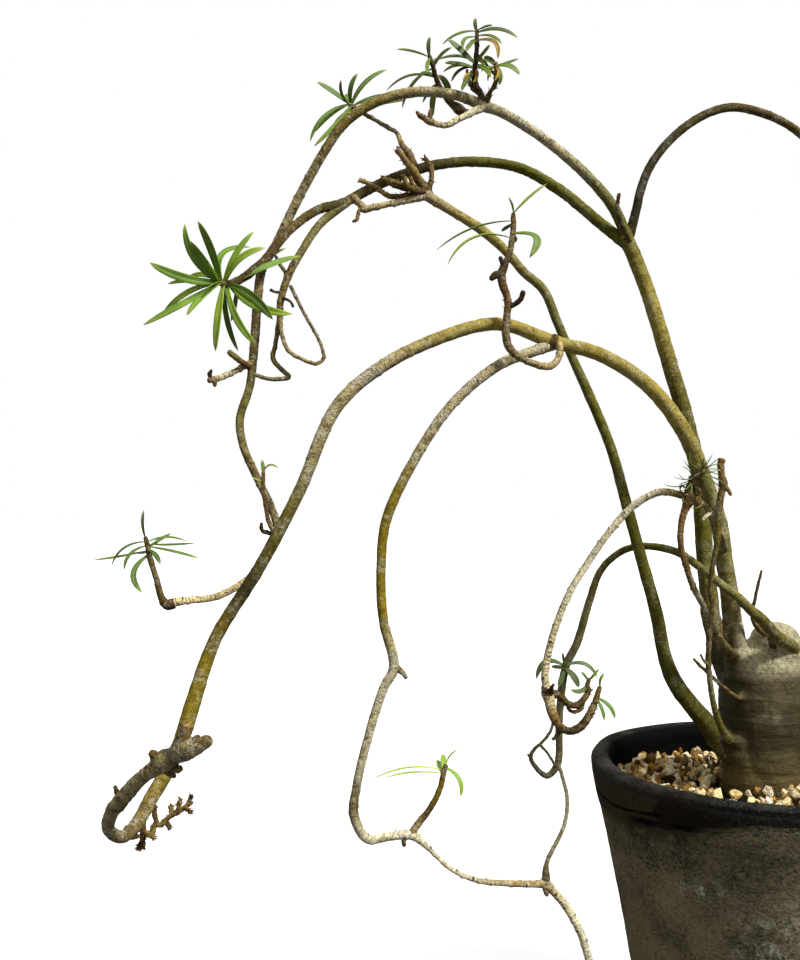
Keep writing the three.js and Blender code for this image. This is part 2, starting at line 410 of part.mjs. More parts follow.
// Leafy shoots: the shoot's own wood, where its upper faces look, and its blades.
const LEAFY = {
  big_rosette: {
    on: ["middle_arch_stem", "upper_arch_stem"],
    facing: [-0.4, -0.85, 0.1],
    wood: [[[-223, -21, 351, 1.8], [-227, -24, 348, 1.8], [-230, -28, 346, 1.7], [-233, -33, 346, 1.2]]],
    leaves: [
      [0.85, 166, 15, 30, 2.5, 3.4], [0.9, 211, 10, 36, 1, 3], [0.95, 207, -15, 30, -2.5, 2.6], [0.9, 236, 40, 25, -0.5, 3.4],
      [0.95, 120, 10, 27, 3.5, 3], [0.9, 125, 30, 21, 0, 3], [0.9, 109, 15, 26, -1.5, 3.4], [0.85, 57, -20, 21, 7, 3],
      [0.8, 60, 0, 25, 1, 3], [0.75, 38, 15, 23, 3, 3], [0.3, 44, -35, 31, 0.5, 2.6], [0.3, 28, -25, 31, 0.5, 3],
      [0.65, 321, 20, 27, 2, 3.8], [0.6, 334, 8, 30, -3.5, 3.4], [0.65, 297, 20, 32, -2.5, 3], [0.75, 280, -10, 28, -1.5, 2.6],
      [0.8, 265, 10, 29, 0, 3.4], [0.9, 167, -20, 16, -2, 2], [0.9, 176, -25, 27, -1, 2], [1, 110, 62, 13, 0, 2.2],
      [1, 240, 66, 13, 0, 2.2], [0.3, 250, -45, 22, 1, 2.6],
    ],
  },
  star_shoot: {
    on: ["left_side_stem", "dead_twig_cluster", "upper_arch_stem"],
    facing: [-0.3, -0.85, 0.45],
    wood: [
      [
        [-148, -4, 391, 1.9], [-151, -3, 397, 1.8], [-153, -2, 404, 1.9], [-155, -1, 409, 1.6], [-158, -1, 413, 1.1], [-160, 0, 418, 0.9],
        [-165, 0, 421, 0.9], [-171, 1, 425, 0.9], [-176, 2, 428, 1], [-180, 3, 431, 1.2], [-182, 2, 432, 0.9],
      ],
    ],
    leaves: [
      [1, 151, 20, 17, 0, 2.4], [1, 114, 55, 13, 1.5, 1.8], [0.96, 77, 10, 14, 1.5, 2.4], [0.96, 48, -10, 24, 2, 2.8],
      [0.95, 21, -15, 21, 0.5, 2.4], [0.93, 14, -15, 24, -0.5, 2.4], [1, 228, 15, 26, -3, 2.2], [0.98, 219, 0, 20, -1, 2.8],
      [0.96, 235, 25, 30, 1.5, 2.8], [0.95, 110, -50, 17, 0, 2.4], [0.93, 190, -55, 18, 0, 2.4],
    ],
  },
  top_shoot: {
    on: ["upper_arch_stem"],
    facing: [-0.2, -0.8, 0.6],
    wood: [
      [[-122, 0, 430, 1.9], [-123, -2, 434, 1.6], [-126, -4, 438, 1.8], [-126, -4, 443, 1.6], [-125, -4, 449, 1.1], [-125, -4, 455, 1.1], [-125, -4, 462, 0.9]],
      [[-121, 0, 430, 1.7], [-122, 2, 437, 1.6], [-123, 3, 443, 1.3], [-124, 3, 448, 0.9]],
      [[-121, 0, 430, 1.7], [-119, -3, 435, 1.2], [-117, -6, 438, 1.2], [-117, -8, 442, 1.4], [-117, -9, 446, 1]],
    ],
    leaves: [
      [0.97, 95, 0, 6, 0.5, 1.6], [1, 335, 60, 13, 0.5, 1.6], [0.95, 351, 5, 18, 2, 2.4], [0.91, 325, 35, 15, 1.5, 1.6],
      [0.97, 197, -10, 16, -1.5, 1.6], [0.9, 237, 45, 18, -2.5, 1.8], [0.86, 243, 50, 19, -0.5, 2.4], [0.55, 143, 15, 16, 0.5, 3.2],
      [0.58, 173, -10, 17, -1.5, 1.8], [0.5, 181, 25, 15, 0, 3.2], [0.51, 215, 10, 13, -2, 1.8], [0.48, 186, 3, 14, -2, 2],
      [0.44, 240, 30, 14, -0.5, 2.4], [0.58, 40, 40, 10, -0.5, 2.8], [0.59, 309, 60, 14, 0.5, 1.8], [0.54, 304, 40, 14, 1, 2.4],
      [0.5, 14, -25, 12, -0.5, 1.8], [0.8, 100, -60, 16, 0, 2.4], [0.7, 330, -50, 17, 0, 2.4], [0.85, 311, 20, 14, 4, 2.4],
    ],
    tips: [[2, 336, 10, 11, 1.5, 2.8], [2, 22, -10, 11, -0.5, 1.6], [2, 278, 10, 9, 1, 2], [2, 125, -35, 10, 0, 2.6]],
  },
  behind_shoot: {
    on: ["upper_arch_stem", "top_shoot"],
    facing: [-0.2, -0.75, 0.6],
    wood: [
      [
        [-129, -8, 424, 1.5], [-132, -4, 426, 1.9], [-135, 2, 431, 1.6], [-138, 6, 436, 1.3], [-141, 6, 441, 1.1], [-143, 4, 445, 1.1],
        [-144, 2, 448, 1], [-146, 1, 453, 0.9],
      ],
    ],
    leaves: [
      [0.97, 89, 0, 9, 0.5, 1.8], [0.97, 186, 40, 19, -0.5, 2], [0.96, 263, 45, 16, -0.5, 1.8], [0.85, 230, -10, 22, -2.5, 2],
      [0.74, 193, -5, 23, -3.5, 1.6], [0.85, 46, 10, 12, 1, 2], [0.68, 260, -12, 14, -1, 2.8], [0.69, 227, -25, 11, -0.5, 2],
      [0.42, 324, -6, 10, 1, 2], [0.44, 116, 15, 12, -1.5, 2.8], [0.9, 60, -55, 16, 0, 2.4], [0.75, 130, -55, 18, 0, 2.4],
    ],
  },
  low_left_shoot: {
    on: ["upper_arch_stem"],
    facing: [0, -0.55, 0.8],
    wood: [[[-252, -28, 214, 2.2], [-255, -28.6, 213.4, 2.3], [-257, -29, 216, 1.5], [-259, -31, 225, 1.2], [-261, -32, 232, 1.2], [-262, -33, 238, 1.1], [-263, -33, 242, 0.9]]],
    leaves: [
      [0.82, 190, -5, 24, 0.5, 1.8], [0.93, 216, 10, 17, -3, 1.8], [0.88, 231, 30, 14, -2.5, 2], [0.77, 267, 30, 17, -4.5, 2.6],
      [0.83, 325, 50, 14, 1, 2.4], [0.87, 347, 0, 22, 0.5, 1.9], [0.9, 1, -10, 20, -0.5, 1.8], [0.92, 359, -25, 17, 2, 1.8],
      [0.97, 84, 10, 11, 1.5, 1.8], [0.85, 40, -60, 17, 0, 2.4], [0.8, 190, -60, 19, 0, 2.4],
    ],
  },
  hooked_shoot_leaves: {
    on: ["hooked_shoot", "left_side_stem"],
    facing: [0, -0.3, 0.95],
    wood: [[[-116, -34, 353, 1.3], [-114, -33, 357, 1.2], [-113, -32, 361, 1.3], [-112, -31, 369, 1.2], [-112, -31, 375, 0.9]]],
    leaves: [
      [0.85, 201, 0, 34, -3, 1.6], [0.53, 204, 12, 30, -6, 1.8], [0.98, 43, -10, 20, 0.5, 1.8], [0.62, 296, 35, 16, 6.5, 3.2],
      [1, 110, 20, 7, -0.5, 1.6], [0.8, 160, -80, 18, 0, 2.4], [0.6, 15, -80, 18, 0, 2.4],
    ],
  },
  lower_branch_shoot: {
    on: ["lower_branch_stem"],
    facing: [0, -0.2, 0.97],
    wood: [[[-154, -64, 131, 1.5], [-152, -64, 134, 1.4], [-148, -64, 139, 1.2], [-145, -64, 144, 1.1], [-143, -64, 149, 1.1], [-142, -64, 154, 1.1], [-141, -64, 157, 0.9]]],
    leaves: [
      [0.92, 188, 0, 28, -3, 1.6], [0.87, 177, 25, 25, -1.5, 1.6], [0.95, 300, 20, 12, 2.5, 2.4], [1, 57, 20, 9, 1, 1.6],
      [0.9, 80, -82, 17, 0, 2.2], [0.86, 140, -82, 16, 0, 2.2],
    ],
  },
  joint_tuft: {
    on: ["brown_shoot", "front_arch_stem", "tall_stem"],
    facing: [0, -0.5, 0.85],
    wood: [[[-38, -29, 263, 1.6], [-38, -30, 266, 1.3], [-35, -31, 267, 1.1], [-33, -31, 270, 0.9]]],
    leaves: [
      [0.2, 190, 10, 11, 1, 1.6], [0.2, 215, 40, 9, 0, 1.6], [0.4, 100, 20, 10, 0.5, 1.5], [0.5, 335, 20, 12, 1, 1.5],
      [0.6, 318, 40, 10, 0, 1.5], [0.8, 25, 15, 8, 0, 1.5], [0.9, 70, 30, 7, 0, 1.5], [0.9, 150, 20, 9, 0.5, 1.5],
      [0.1, 250, 45, 7, 0, 1.5],
    ],
  },
  pale_shoot_tip_leaves: {
    on: ["pale_shoot"],
    facing: [0.3, -0.6, 0.7],
    wood: [[[-79, -35, 174, 1.3], [-78, -35, 178, 1.1], [-77, -35, 181, 0.9]]],
    leaves: [
      [1, 74, 10, 6, 1, 1.6], [0.25, 288, 15, 9, 0.5, 2], [0.3, 311, 10, 11, 1.5, 2.4], [0.3, 300, -70, 10, 0, 2],
    ],
  },
  pale_shoot_inner_leaves: {
    on: ["pale_shoot", "pale_shoot_tip_leaves"],
    facing: [0, -0.8, 0.6],
    wood: [[[-79, -17.5, 174, 1.2], [-79, -17, 178, 1], [-78, -17, 181, 0.8]]],
    leaves: [[0.6, 195, 10, 8, 2, 2.2], [0.8, 52, 10, 7, 0, 1.6], [0.8, 130, 30, 7, 0, 1.8], [0.4, 330, -75, 9, 0, 2]],
  },
  loop_leaves: {
    on: ["looping_stem"],
    facing: [0, -0.7, 0.7],
    wood: [[[-82, 34, 170, 1.4], [-81.5, 31, 175, 1.3], [-81, 30, 180, 1.1]]],
    leaves: [
      [0.7, 105, 38, 11, 0, 2], [0.76, 202, 10, 15, -5.5, 2.8], [0.78, 341, 5, 16, 4, 2.2], [0.7, 305, 20, 11, 1, 3.2],
      [0.7, 165, 50, 12, 0, 2.6], [0.6, 240, 45, 11, 0, 2.4],
    ],
  },
  arch_side_shoot: {
    on: ["upper_arch_stem", "front_arch_stem"],
    facing: [0.2, -0.4, 0.9],
    wood: [[[-212, -17, 242, 1.1], [-214, -21, 248, 0.9], [-215, -22, 254, 0.9], [-216, -22, 261, 0.8], [-216, -22, 269, 0.8]]],
    leaves: [[0.95, 95, 10, 6, 0, 2], [0.95, 20, 10, 7, 2.5, 1.5], [0.85, 160, 20, 5, 0.5, 1.4]],
  },
  right_arch_leaves: {
    on: ["right_arch_stem"],
    facing: [0.2, -0.35, -0.9],
    wood: [[[57, 25, 370, 1.6], [57, 22, 362, 1.4], [56, 19, 355, 1]]],
    leaves: [
      [0.2, 200, 10, 27, 3, 3], [0.3, 335, 15, 26, -3, 3], [0.4, 262, 60, 24, 0, 3], [0.5, 120, 35, 22, 2, 3], [0.6, 30, 40, 24, -2, 3],
      [0.4, 70, -30, 22, 0, 3], [0.6, 215, -45, 26, 2, 3], [0.7, 310, -40, 25, -2, 3], [0.9, 290, 15, 22, 1, 2.8], [0.9, 245, 20, 22, -1, 2.8],
      [1, 268, -15, 18, 0, 2.4],
    ],
  },
  trailing_tip_leaves: {
    on: ["lower_branch_stem"],
    facing: [0.6, -0.6, 0.5],
    wood: [[[-61, -75, 48, 1.3], [-56, -80, 51, 1.2], [-53, -84, 55, 0.9]]],
    leaves: [
      [0.3, 150, 20, 20, 2, 2.6], [0.4, 350, 10, 22, 2, 2.6], [0.5, 75, 15, 20, 1, 2.6], [0.6, 300, 45, 19, 0, 2.6], [0.7, 200, 50, 19, 0, 2.6],
      [0.9, 35, 50, 18, 0, 2.4], [1, 110, 55, 15, 0, 2.2],
    ],
  },
};

const group = new THREE.Group();
const built = new Map(); // name of each piece to a function that gives it swollen by the clearance

function show(name, made, colour, roughness) {
  const mesh = made.getMesh();
  const geometry = new THREE.BufferGeometry();
  geometry.setAttribute("position", new THREE.BufferAttribute(new Float32Array(mesh.vertProperties), 3));
  geometry.setIndex(new THREE.BufferAttribute(new Uint32Array(mesh.triVerts), 1));
  geometry.computeVertexNormals();
  const piece = new THREE.Mesh(
    geometry,
    new THREE.MeshStandardMaterial({ color: colour, roughness, metalness: 0, flatShading: true }),
  );
  piece.name = name;
  group.add(piece);
}

// A solid turned about the Z axis from a profile of [radius, height], from the axis round to the axis.
function turned(profile, segments) {
  return solid(new THREE.LatheGeometry(profile.map(([r, z]) => new THREE.Vector2(r, z)), segments).rotateX(Math.PI / 2));
}

// Pot
const BODY_TOP = POT_HEIGHT - LIP_DEPTH - 2;
const BODY_RADIUS = LIP_RADIUS - 2.3 - LIP_STEP; // just below the lip band
const INNER_TOP = LIP_RADIUS - LIP_WALL;
const INNER_FLOOR = FOOT_RADIUS - 5;
const POT_SEGMENTS = 30;

function innerRadius(height) {
  return THREE.MathUtils.mapLinear(height, FLOOR, POT_HEIGHT - 5, INNER_FLOOR, INNER_TOP - 1);
}

function pot() {
  const lip = POT_HEIGHT;
  let made = turned(
    [
      [0, 0],
      [FOOT_RADIUS - 1.5, 0],
      [FOOT_RADIUS, 1.5],
      [BODY_RADIUS, BODY_TOP],
      [BODY_RADIUS + LIP_STEP, BODY_TOP + 4],
      [LIP_RADIUS - 0.4, lip - 7],
      [LIP_RADIUS, lip - 3.5],
      [LIP_RADIUS - 1.6, lip - 0.7],
      [LIP_RADIUS - 4, lip],
      [INNER_TOP + 2, lip - 0.6],
      [INNER_TOP, lip - 2.5],
      [innerRadius(lip - 7), lip - 7],
      [innerRadius(FLOOR + 2), FLOOR + 2],
      [innerRadius(FLOOR) - 2, FLOOR],
      [0, FLOOR],
    ],
    POT_SEGMENTS,
  );
  for (let i = 0; i < DRAIN_HOLES; i++) {
    const turn = (i / DRAIN_HOLES) * 2 * Math.PI + Math.PI / 2;
    const hole = new THREE.CylinderGeometry(DRAIN_RADIUS, DRAIN_RADIUS, 3 * FLOOR, 12)
      .rotateX(Math.PI / 2)
      .translate(DRAIN_RING * Math.cos(turn), DRAIN_RING * Math.sin(turn), FLOOR / 2);
    made = made.subtract(solid(hole));
  }
  return made;
}

// A disc of plastic net over the drain holes, so that the grit stays in.
function drainageNet() {
  const reach = Math.floor(NET_RADIUS / NET_PITCH);
  const openings = [];
  for (let i = -reach; i <= reach; i++) {
    for (let j = -reach; j <= reach; j++) {
      if (Math.hypot(i, j) * NET_PITCH > NET_RADIUS - NET_PITCH) continue;
      openings.push(
        solid(
          new THREE.BoxGeometry(NET_OPENING, NET_OPENING, 4 * NET_THICK).translate(i * NET_PITCH, j * NET_PITCH, FLOOR + GAP),
        ),
      );
    }
  }
  const disc = new THREE.CylinderGeometry(NET_RADIUS, NET_RADIUS, NET_THICK, NET_SIDES)
    .rotateX(Math.PI / 2)
    .translate(0, 0, FLOOR + GAP + NET_THICK / 2);
  return solid(disc).subtract(join(openings));
}

function soil() {
  const underNet = FLOOR + NET_THICK + 2 * GAP;
  return turned(
    [
      [0, underNet],
      [NET_RADIUS + 1, underNet],
      [NET_RADIUS + 1, FLOOR + GAP],
      [innerRadius(FLOOR) - 2 - GAP, FLOOR + GAP],
      [innerRadius(FLOOR + 2) - GAP - 0.1, FLOOR + 2],
      [innerRadius(SOIL_TOP) - GAP - 0.1, SOIL_TOP],
      [0, SOIL_TOP],
    ],
    POT_SEGMENTS,
  ).subtract(built.get("trunk")());
}

// The loose layer of pumice and lava grains on the soil: a bed whose upper side is covered with rough lumps.
function grit() {
  const random = seeded(41);
  const bed = turned(
    [
      [0, SOIL_TOP + GAP],
      [innerRadius(SOIL_TOP + GAP) - GAP - 0.1, SOIL_TOP + GAP],
      [innerRadius(GRIT_TOP) - GAP - 0.1, GRIT_TOP],
      [0, GRIT_TOP],
    ],
    POT_SEGMENTS,
  );
  const reach = innerRadius(GRIT_TOP) - GRAIN_RADIUS - 0.8;
  const grains = [];
  const rowHeight = (GRAIN_SPACING * Math.sqrt(3)) / 2;
  const rows = Math.ceil(reach / rowHeight) + 2;
  for (let row = -rows; row <= rows; row++) {
    for (let column = -rows; column <= rows; column++) {
      const x = (column + (row % 2 ? 0.5 : 0)) * GRAIN_SPACING + GRAIN_JITTER * (random() - 0.5);
      const y = row * rowHeight + GRAIN_JITTER * (random() - 0.5);
      const size = GRAIN_RADIUS * THREE.MathUtils.lerp(...GRAIN_SCALES, random());
      const turn = [3 * random(), 3 * random(), 3 * random()];
      const drop = GRAIN_DROP * random();
      if (Math.hypot(x, y) > reach || Math.hypot(x - 1, y) < TRUNK_CLEARING) continue;
      const grain = new THREE.OctahedronGeometry(size, 0)
        .rotateX(turn[0])
        .rotateY(turn[1])
        .rotateZ(turn[2])
        .scale(1, 1, 0.8)
        .translate(x, y, GRIT_TOP - drop);
      grains.push(solid(grain));
    }
  }
  return largest(join([bed, ...grains]).subtract(built.get("trunk")()));
}

for (const [name, { runs }] of Object.entries(WOOD)) {
  built.set(name, () => join(runs.map((run) => stem(run, GAP))));
}

// Where a leaf grows from: the point at its height up the first run of wood, or the end of a later run.
function rootOf(wood, up) {
  const run = up > 1 ? wood[up] : wood[0];
  const line = new THREE.CatmullRomCurve3(run.map(([x, y, z]) => new THREE.Vector3(x, y, z)), false, "centripetal");
  return line.getPointAt(up > 1 ? 0.9 : Math.min(up, 0.98));
}

function leafyParts({ wood, facing, leaves, tips = [] }) {
  const look = new THREE.Vector3(...facing).normalize();
  return [
    ...wood.map((run) => stem(run)),
    ...[...leaves, ...tips].map((row) => leaf(look, row, rootOf(wood, row[0]))),
  ];
}

for (const [name, piece] of Object.entries(LEAFY)) {
  built.set(name, () => join(piece.wood.map((run) => stem(run, GAP))));
}

function clearOf(made, on) {
  return largest(on.reduce((left, other) => left.subtract(built.get(other)()), made));
}

show("pot", pot(), 0x2d2a26, 0.85);
show("drainage_net", drainageNet(), 0x20221f, 0.7);
show("soil_mix", soil(), 0x3a2f24, 0.95);
show("grit_dressing", grit(), 0xb59b78, 0.9);
for (const [name, { colour, on, runs }] of Object.entries(WOOD)) {
  show(name, clearOf(join(runs.map((run) => stem(run))), on), colour, 0.85);
}
for (const [name, piece] of Object.entries(LEAFY)) {
  show(name, clearOf(join(leafyParts(piece)), piece.on), 0x4f7a22, 0.5);
}

export default group;
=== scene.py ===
# %% [markdown]
# # A balsam spurge in its pot
# The plant is a short thick trunk with long bare stems that arch over to one side, and a few tufts of
# narrow leaves at their ends. It stands in a dark hand-thrown pot, topped with grains of pumice and lava.
# This lesson dresses a plain model of faceted solids, the frame, with finer pieces: smooth stems with
# scars and knots, thin folded leaves, loose grains and a weathered pot. Everything is in metres and +Z is
# up.

import math
import random

import bmesh
import bpy
from mathutils import Matrix, Vector, noise


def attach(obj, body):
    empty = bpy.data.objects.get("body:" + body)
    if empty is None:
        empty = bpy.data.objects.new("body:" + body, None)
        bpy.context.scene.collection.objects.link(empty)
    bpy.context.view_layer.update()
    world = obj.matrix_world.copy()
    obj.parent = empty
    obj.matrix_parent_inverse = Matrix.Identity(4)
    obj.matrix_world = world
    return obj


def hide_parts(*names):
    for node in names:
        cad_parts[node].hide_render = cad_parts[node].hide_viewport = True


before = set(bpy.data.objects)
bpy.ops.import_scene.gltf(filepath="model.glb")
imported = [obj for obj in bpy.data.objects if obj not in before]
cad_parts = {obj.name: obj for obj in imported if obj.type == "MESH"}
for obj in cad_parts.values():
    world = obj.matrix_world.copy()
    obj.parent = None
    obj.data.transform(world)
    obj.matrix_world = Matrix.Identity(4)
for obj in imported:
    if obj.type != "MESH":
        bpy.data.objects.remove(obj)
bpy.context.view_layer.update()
MM = 0.001
SAME_SPOT = 0.001 * MM
print("solids in the frame:", len(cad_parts))

# %% [markdown]
# ## Shader maths as ordinary expressions
# Bark and fired clay need many masks, and a tree of masks is easier to read when an expression such as
# `1 - mask * 0.5` builds the Math nodes by itself. A small class wraps one output socket and overloads the
# operators. Colours are mixed with a Mix node instead, because a Math node turns a colour grey.

# %% A socket that can be used in expressions
class Wire:
    def __init__(self, finish, socket):
        self.finish = finish
        self.socket = socket

    def maths(self, operation, other, swapped=False):
        pair = [other, self] if swapped else [self, other]
        return self.finish.node("ShaderNodeMath", {"operation": operation}, {0: pair[0], 1: pair[1]})

    def __add__(self, other):
        return self.maths("ADD", other)

    def __sub__(self, other):
        return self.maths("SUBTRACT", other)

    def __rsub__(self, other):
        return self.maths("SUBTRACT", other, swapped=True)

    def __mul__(self, other):
        return self.maths("MULTIPLY", other)

    def __truediv__(self, other):
        return self.maths("DIVIDE", other)

    __radd__ = __add__
    __rmul__ = __mul__


print("an expression may hold + - * / between wires and numbers")


# %% [markdown]
# ## One finish per surface
# Each surface of the plant has its own procedural finish. It could be drawn in the editor, node by node,
# but the same few patterns come back on every living and weathered surface. So this class starts a
# material, adds any node in one call, and has a name for each of them: blotches, cells, a soft step
# between two values, a band between two steps, and a coat of one paint over another.

# %% A material and its pattern helpers
def paint(code):
    """A colour as it is written on a paint chart, in the linear values that the shader wants."""
    parts = [int(code[i:i + 2], 16) / 255 for i in (1, 3, 5)]
    return [p / 12.92 if p <= 0.04045 else ((p + 0.055) / 1.055) ** 2.4 for p in parts] + [1.0]


def painted(codes):
    """The same for a row of paints, as vectors that can be blended."""
    return [Vector(paint(code)) for code in codes.split()]


class Finish:
    def __init__(self, name):
        self.material = bpy.data.materials.new(name)
        self.material.use_nodes = True
        self.tree = self.material.node_tree
        self.shader = self.tree.nodes["Principled BSDF"]
        self.place = self.node("ShaderNodeTexCoord", {}, {}, "Object")

    def node(self, kind, settings, inputs, output=0):
        made = self.tree.nodes.new(kind)
        for name, value in settings.items():
            setattr(made, name, value)
        for name, value in inputs.items():
            if isinstance(value, Wire):
                self.tree.links.new(value.socket, made.inputs[name])
            else:
                made.inputs[name].default_value = value
        return Wire(self, made.outputs[output])

    def stretched(self, place, scale, shift=(0, 0, 0)):
        return self.node("ShaderNodeMapping", {}, {"Vector": place, "Scale": scale, "Location": shift})

    def blotches(self, scale, detail=4, place=None, rough=0.55):
        inputs = {"Vector": place or self.place, "Scale": scale, "Detail": detail, "Roughness": rough}
        return self.node("ShaderNodeTexNoise", {}, inputs, "Fac")

    def cells(self, scale, place=None, feature="F1", output="Distance"):
        inputs = {"Vector": place or self.place, "Scale": scale}
        return self.node("ShaderNodeTexVoronoi", {"feature": feature}, inputs, output)

    def slope(self, value, low, high, start, end, kind="LINEAR"):
        """From start to end while the value goes from low to high, and level past both."""
        inputs = {"Value": value, "From Min": low, "From Max": high, "To Min": start, "To Max": end}
        return self.node("ShaderNodeMapRange", {"interpolation_type": kind}, inputs)

    def step(self, value, low, high):
        return self.slope(value, low, high, 0.0, 1.0, "SMOOTHSTEP")

    def band(self, value, rises, full, falls, gone):
        return self.step(value, rises, full) * self.step(value, gone, falls)

    def mix(self, share, below, above, blend="MIX"):
        settings = {"data_type": "RGBA", "blend_type": blend}
        return self.node("ShaderNodeMix", settings, {0: share, 6: below, 7: above}, 2)

    def over(self, below, share, code):
        """A paint laid over a colour where the share says so."""
        return self.mix(share, below, paint(code))

    def shades(self, share, dark, light):
        return self.mix(share, paint(dark), paint(light))

    def tinted(self, colour, red, green, blue):
        return self.mix(1.0, colour, (red, green, blue, 1), "MULTIPLY")

    def split(self, vector, axis):
        return self.node("ShaderNodeSeparateXYZ", {}, {0: vector}, axis)

    def attribute(self, name, output="Color"):
        settings = {"attribute_type": "GEOMETRY", "attribute_name": name}
        return self.node("ShaderNodeAttribute", settings, {}, output)

    def uv(self):
        return self.node("ShaderNodeUVMap", {"uv_map": "grain"}, {})

    def relief(self, height, distance, strength=1.0):
        inputs = {"Height": height, "Distance": distance, "Strength": strength}
        return self.node("ShaderNodeBump", {}, inputs)

    def finish(self, colour, roughness, normal=None, **constants):
        for name, value in (("Base Color", colour), ("Roughness", roughness), ("Normal", normal)):
            if isinstance(value, Wire):
                self.tree.links.new(value.socket, self.shader.inputs[name])
            elif value is not None:
                self.shader.inputs[name].default_value = value
        for name, value in constants.items():
            self.shader.inputs[name.replace("_", " ")].default_value = value
        print("finish", self.material.name, "with", len(self.tree.nodes), "nodes")
        return self.material


print("a middle grey on the chart is", round(paint("#808080")[0], 3), "in the shader")


# %% [markdown]
# ## The palette of bark
# Young bark of this plant is smooth and olive green. With age it turns mustard, then grey brown with
# cream flecks. Starved shoots are pale with a dark scar where each leaf fell, and dead ones are chestnut.
# Each bark has a colour, and three amounts for its pattern: cream flecks, rings round the stem, and dark
# scars.

# %% Bark colours and patterns
BARKS = {
    "olive": ("#5a5817", (0.15, 0.1, 0.3)),
    "moss": ("#5e561b", (0.35, 0.2, 0.5)),
    "bracken": ("#453e15", (0.15, 0.2, 0.4)),
    # painted shade: a near-black olive laid on stem parts that stand in shade
    "loam": ("#2f290d", (0.15, 0.1, 0.3)),
    "sage": ("#767140", (0.35, 0.1, 0.3)),
    "mustard": ("#746513", (0.35, 0.1, 0.5)),
    "umber": ("#63522b", (0.5, 0.3, 0.8)),
    "drab": ("#7d6e46", (0.9, 0.3, 0.9)),
    "pebble": ("#a39772", (0.9, 0.2, 1.0)),
    "bleached": ("#bab192", (0.8, 0.2, 0.6)),
    "ash": ("#7c6e4c", (0.7, 0.3, 0.5)),
    "smoke": ("#6f6a50", (0.3, 0.2, 0.5)),
    "beige": ("#b09d70", (0.6, 0.5, 1.0)),
    "cream": ("#d9d2b8", (0.5, 0.4, 1.1)),
    "ringed": ("#cbbf9b", (0.4, 1.0, 1.1)),
    "ivory": ("#d9c698", (0.2, 1.0, 1.2)),
    "chestnut": ("#3f2e18", (0.12, 0.4, 0.8)),
    "russet": ("#644a25", (0.2, 0.4, 0.8)),
    "tan": ("#7a5f35", (0.25, 0.4, 0.8)),
    "gilt": ("#86703a", (0.2, 0.3, 0.8)),
    "straw": ("#988a45", (0.3, 0.1, 0.4)),
    "fern": ("#474510", (0.15, 0.1, 0.3)),
    "sprout": ("#7f8d45", (0.1, 0.2, 0.3)),
}


def bark_at(names, share):
    """Colour and pattern amounts at a share of the way along a stem. Its barks are spread evenly."""
    barks = [BARKS[name] for name in names.split()]
    along = share * (len(barks) - 1)
    k = max(0, min(int(along), len(barks) - 2))
    code, amounts = barks[k]
    next_code, next_amounts = barks[min(k + 1, len(barks) - 1)]
    colour = Vector(paint(code)).lerp(Vector(paint(next_code)), along - k)
    return colour, Vector(amounts).lerp(Vector(next_amounts), along - k)


print("barks:", ", ".join(BARKS))

# %% [markdown]
# ## A smooth line through stations
# Stems grow in curves without corners. The stations are points that a maker would measure off the plant,
# and a Catmull-Rom curve goes through each of them. Its centripetal form doesn't loop where stations are
# close.

# %% The place at any share of a line
FINE = 16    # samples from one station to the next
TIP_STEPS = (0.12, 0.3, 0.55)    # extra rings near the end, in radii of the end
TIP_FLAT = 0.35    # what is left of the radius at the very end


def smooth_spot(points, t):
    k = min(int(t), len(points) - 2)
    p1 = points[k]
    p2 = points[k + 1]
    p0 = points[k - 1] if k > 0 else 2 * p1 - p2
    p3 = points[k + 2] if k + 2 < len(points) else 2 * p2 - p1
    gaps = [max((b - a).length, 1e-6) ** 0.5 for a, b in ((p0, p1), (p1, p2), (p2, p3))]
    m1 = ((p1 - p0) / gaps[0] - (p2 - p0) / (gaps[0] + gaps[1]) + (p2 - p1) / gaps[1]) * gaps[1]
    m2 = ((p2 - p1) / gaps[1] - (p3 - p1) / (gaps[1] + gaps[2]) + (p3 - p2) / gaps[2]) * gaps[1]
    f = t - k
    return p1 + m1 * f + (3 * (p2 - p1) - 2 * m1 - m2) * f * f + (2 * (p1 - p2) + m1 + m2) * f * f * f


def walk(stations, step):
    """Even steps along a run: place, radius and length so far, in metres, and the share of the way."""
    points = [Vector(s[:3]) * MM for s in stations]
    fine = [i / FINE for i in range(FINE * (len(stations) - 1) + 1)]
    places = [smooth_spot(points, t) for t in fine]
    lengths = [0.0]
    for a, b in zip(places, places[1:]):
        lengths.append(lengths[-1] + (b - a).length)
    total = lengths[-1]
    count = max(4, round(total / step))
    marks = [total * i / count for i in range(count + 1)]
    tip = stations[-1][3] * MM
    marks += [total - tip * gap for gap in TIP_STEPS if total > 3 * tip]
    found = []
    k = 0
    for mark in sorted(marks):
        while k < len(lengths) - 2 and lengths[k + 1] < mark:
            k += 1
        t = fine[k] + (mark - lengths[k]) / max(lengths[k + 1] - lengths[k], 1e-9) / FINE
        s = min(int(t), len(stations) - 2)
        radius = (stations[s][3] + (stations[s + 1][3] - stations[s][3]) * (t - s)) * MM
        inside = min((total - mark) / tip, 1.0)
        radius *= TIP_FLAT + (1 - TIP_FLAT) * math.sqrt(max(0.0, 1 - (1 - inside) ** 2))
        found.append((smooth_spot(points, min(t, len(points) - 1)), radius, mark, mark / total))
    return found


print("a run of 10 mm has", len(walk([(0, 0, 0, 1), (0, 0, 10, 1)], MM)), "steps of 1 mm")

# %% [markdown]
# ## One stem
# A stem starts as a flat grid that is rolled into a tube: across the grid is round the stem, and along
# the grid is along it. That way the grid's own UV map follows the bark, which the rings and scars need.
# The tube is slightly lumpy, with a swelling at each old leaf scar, because bare living stems are never
# turned rods.

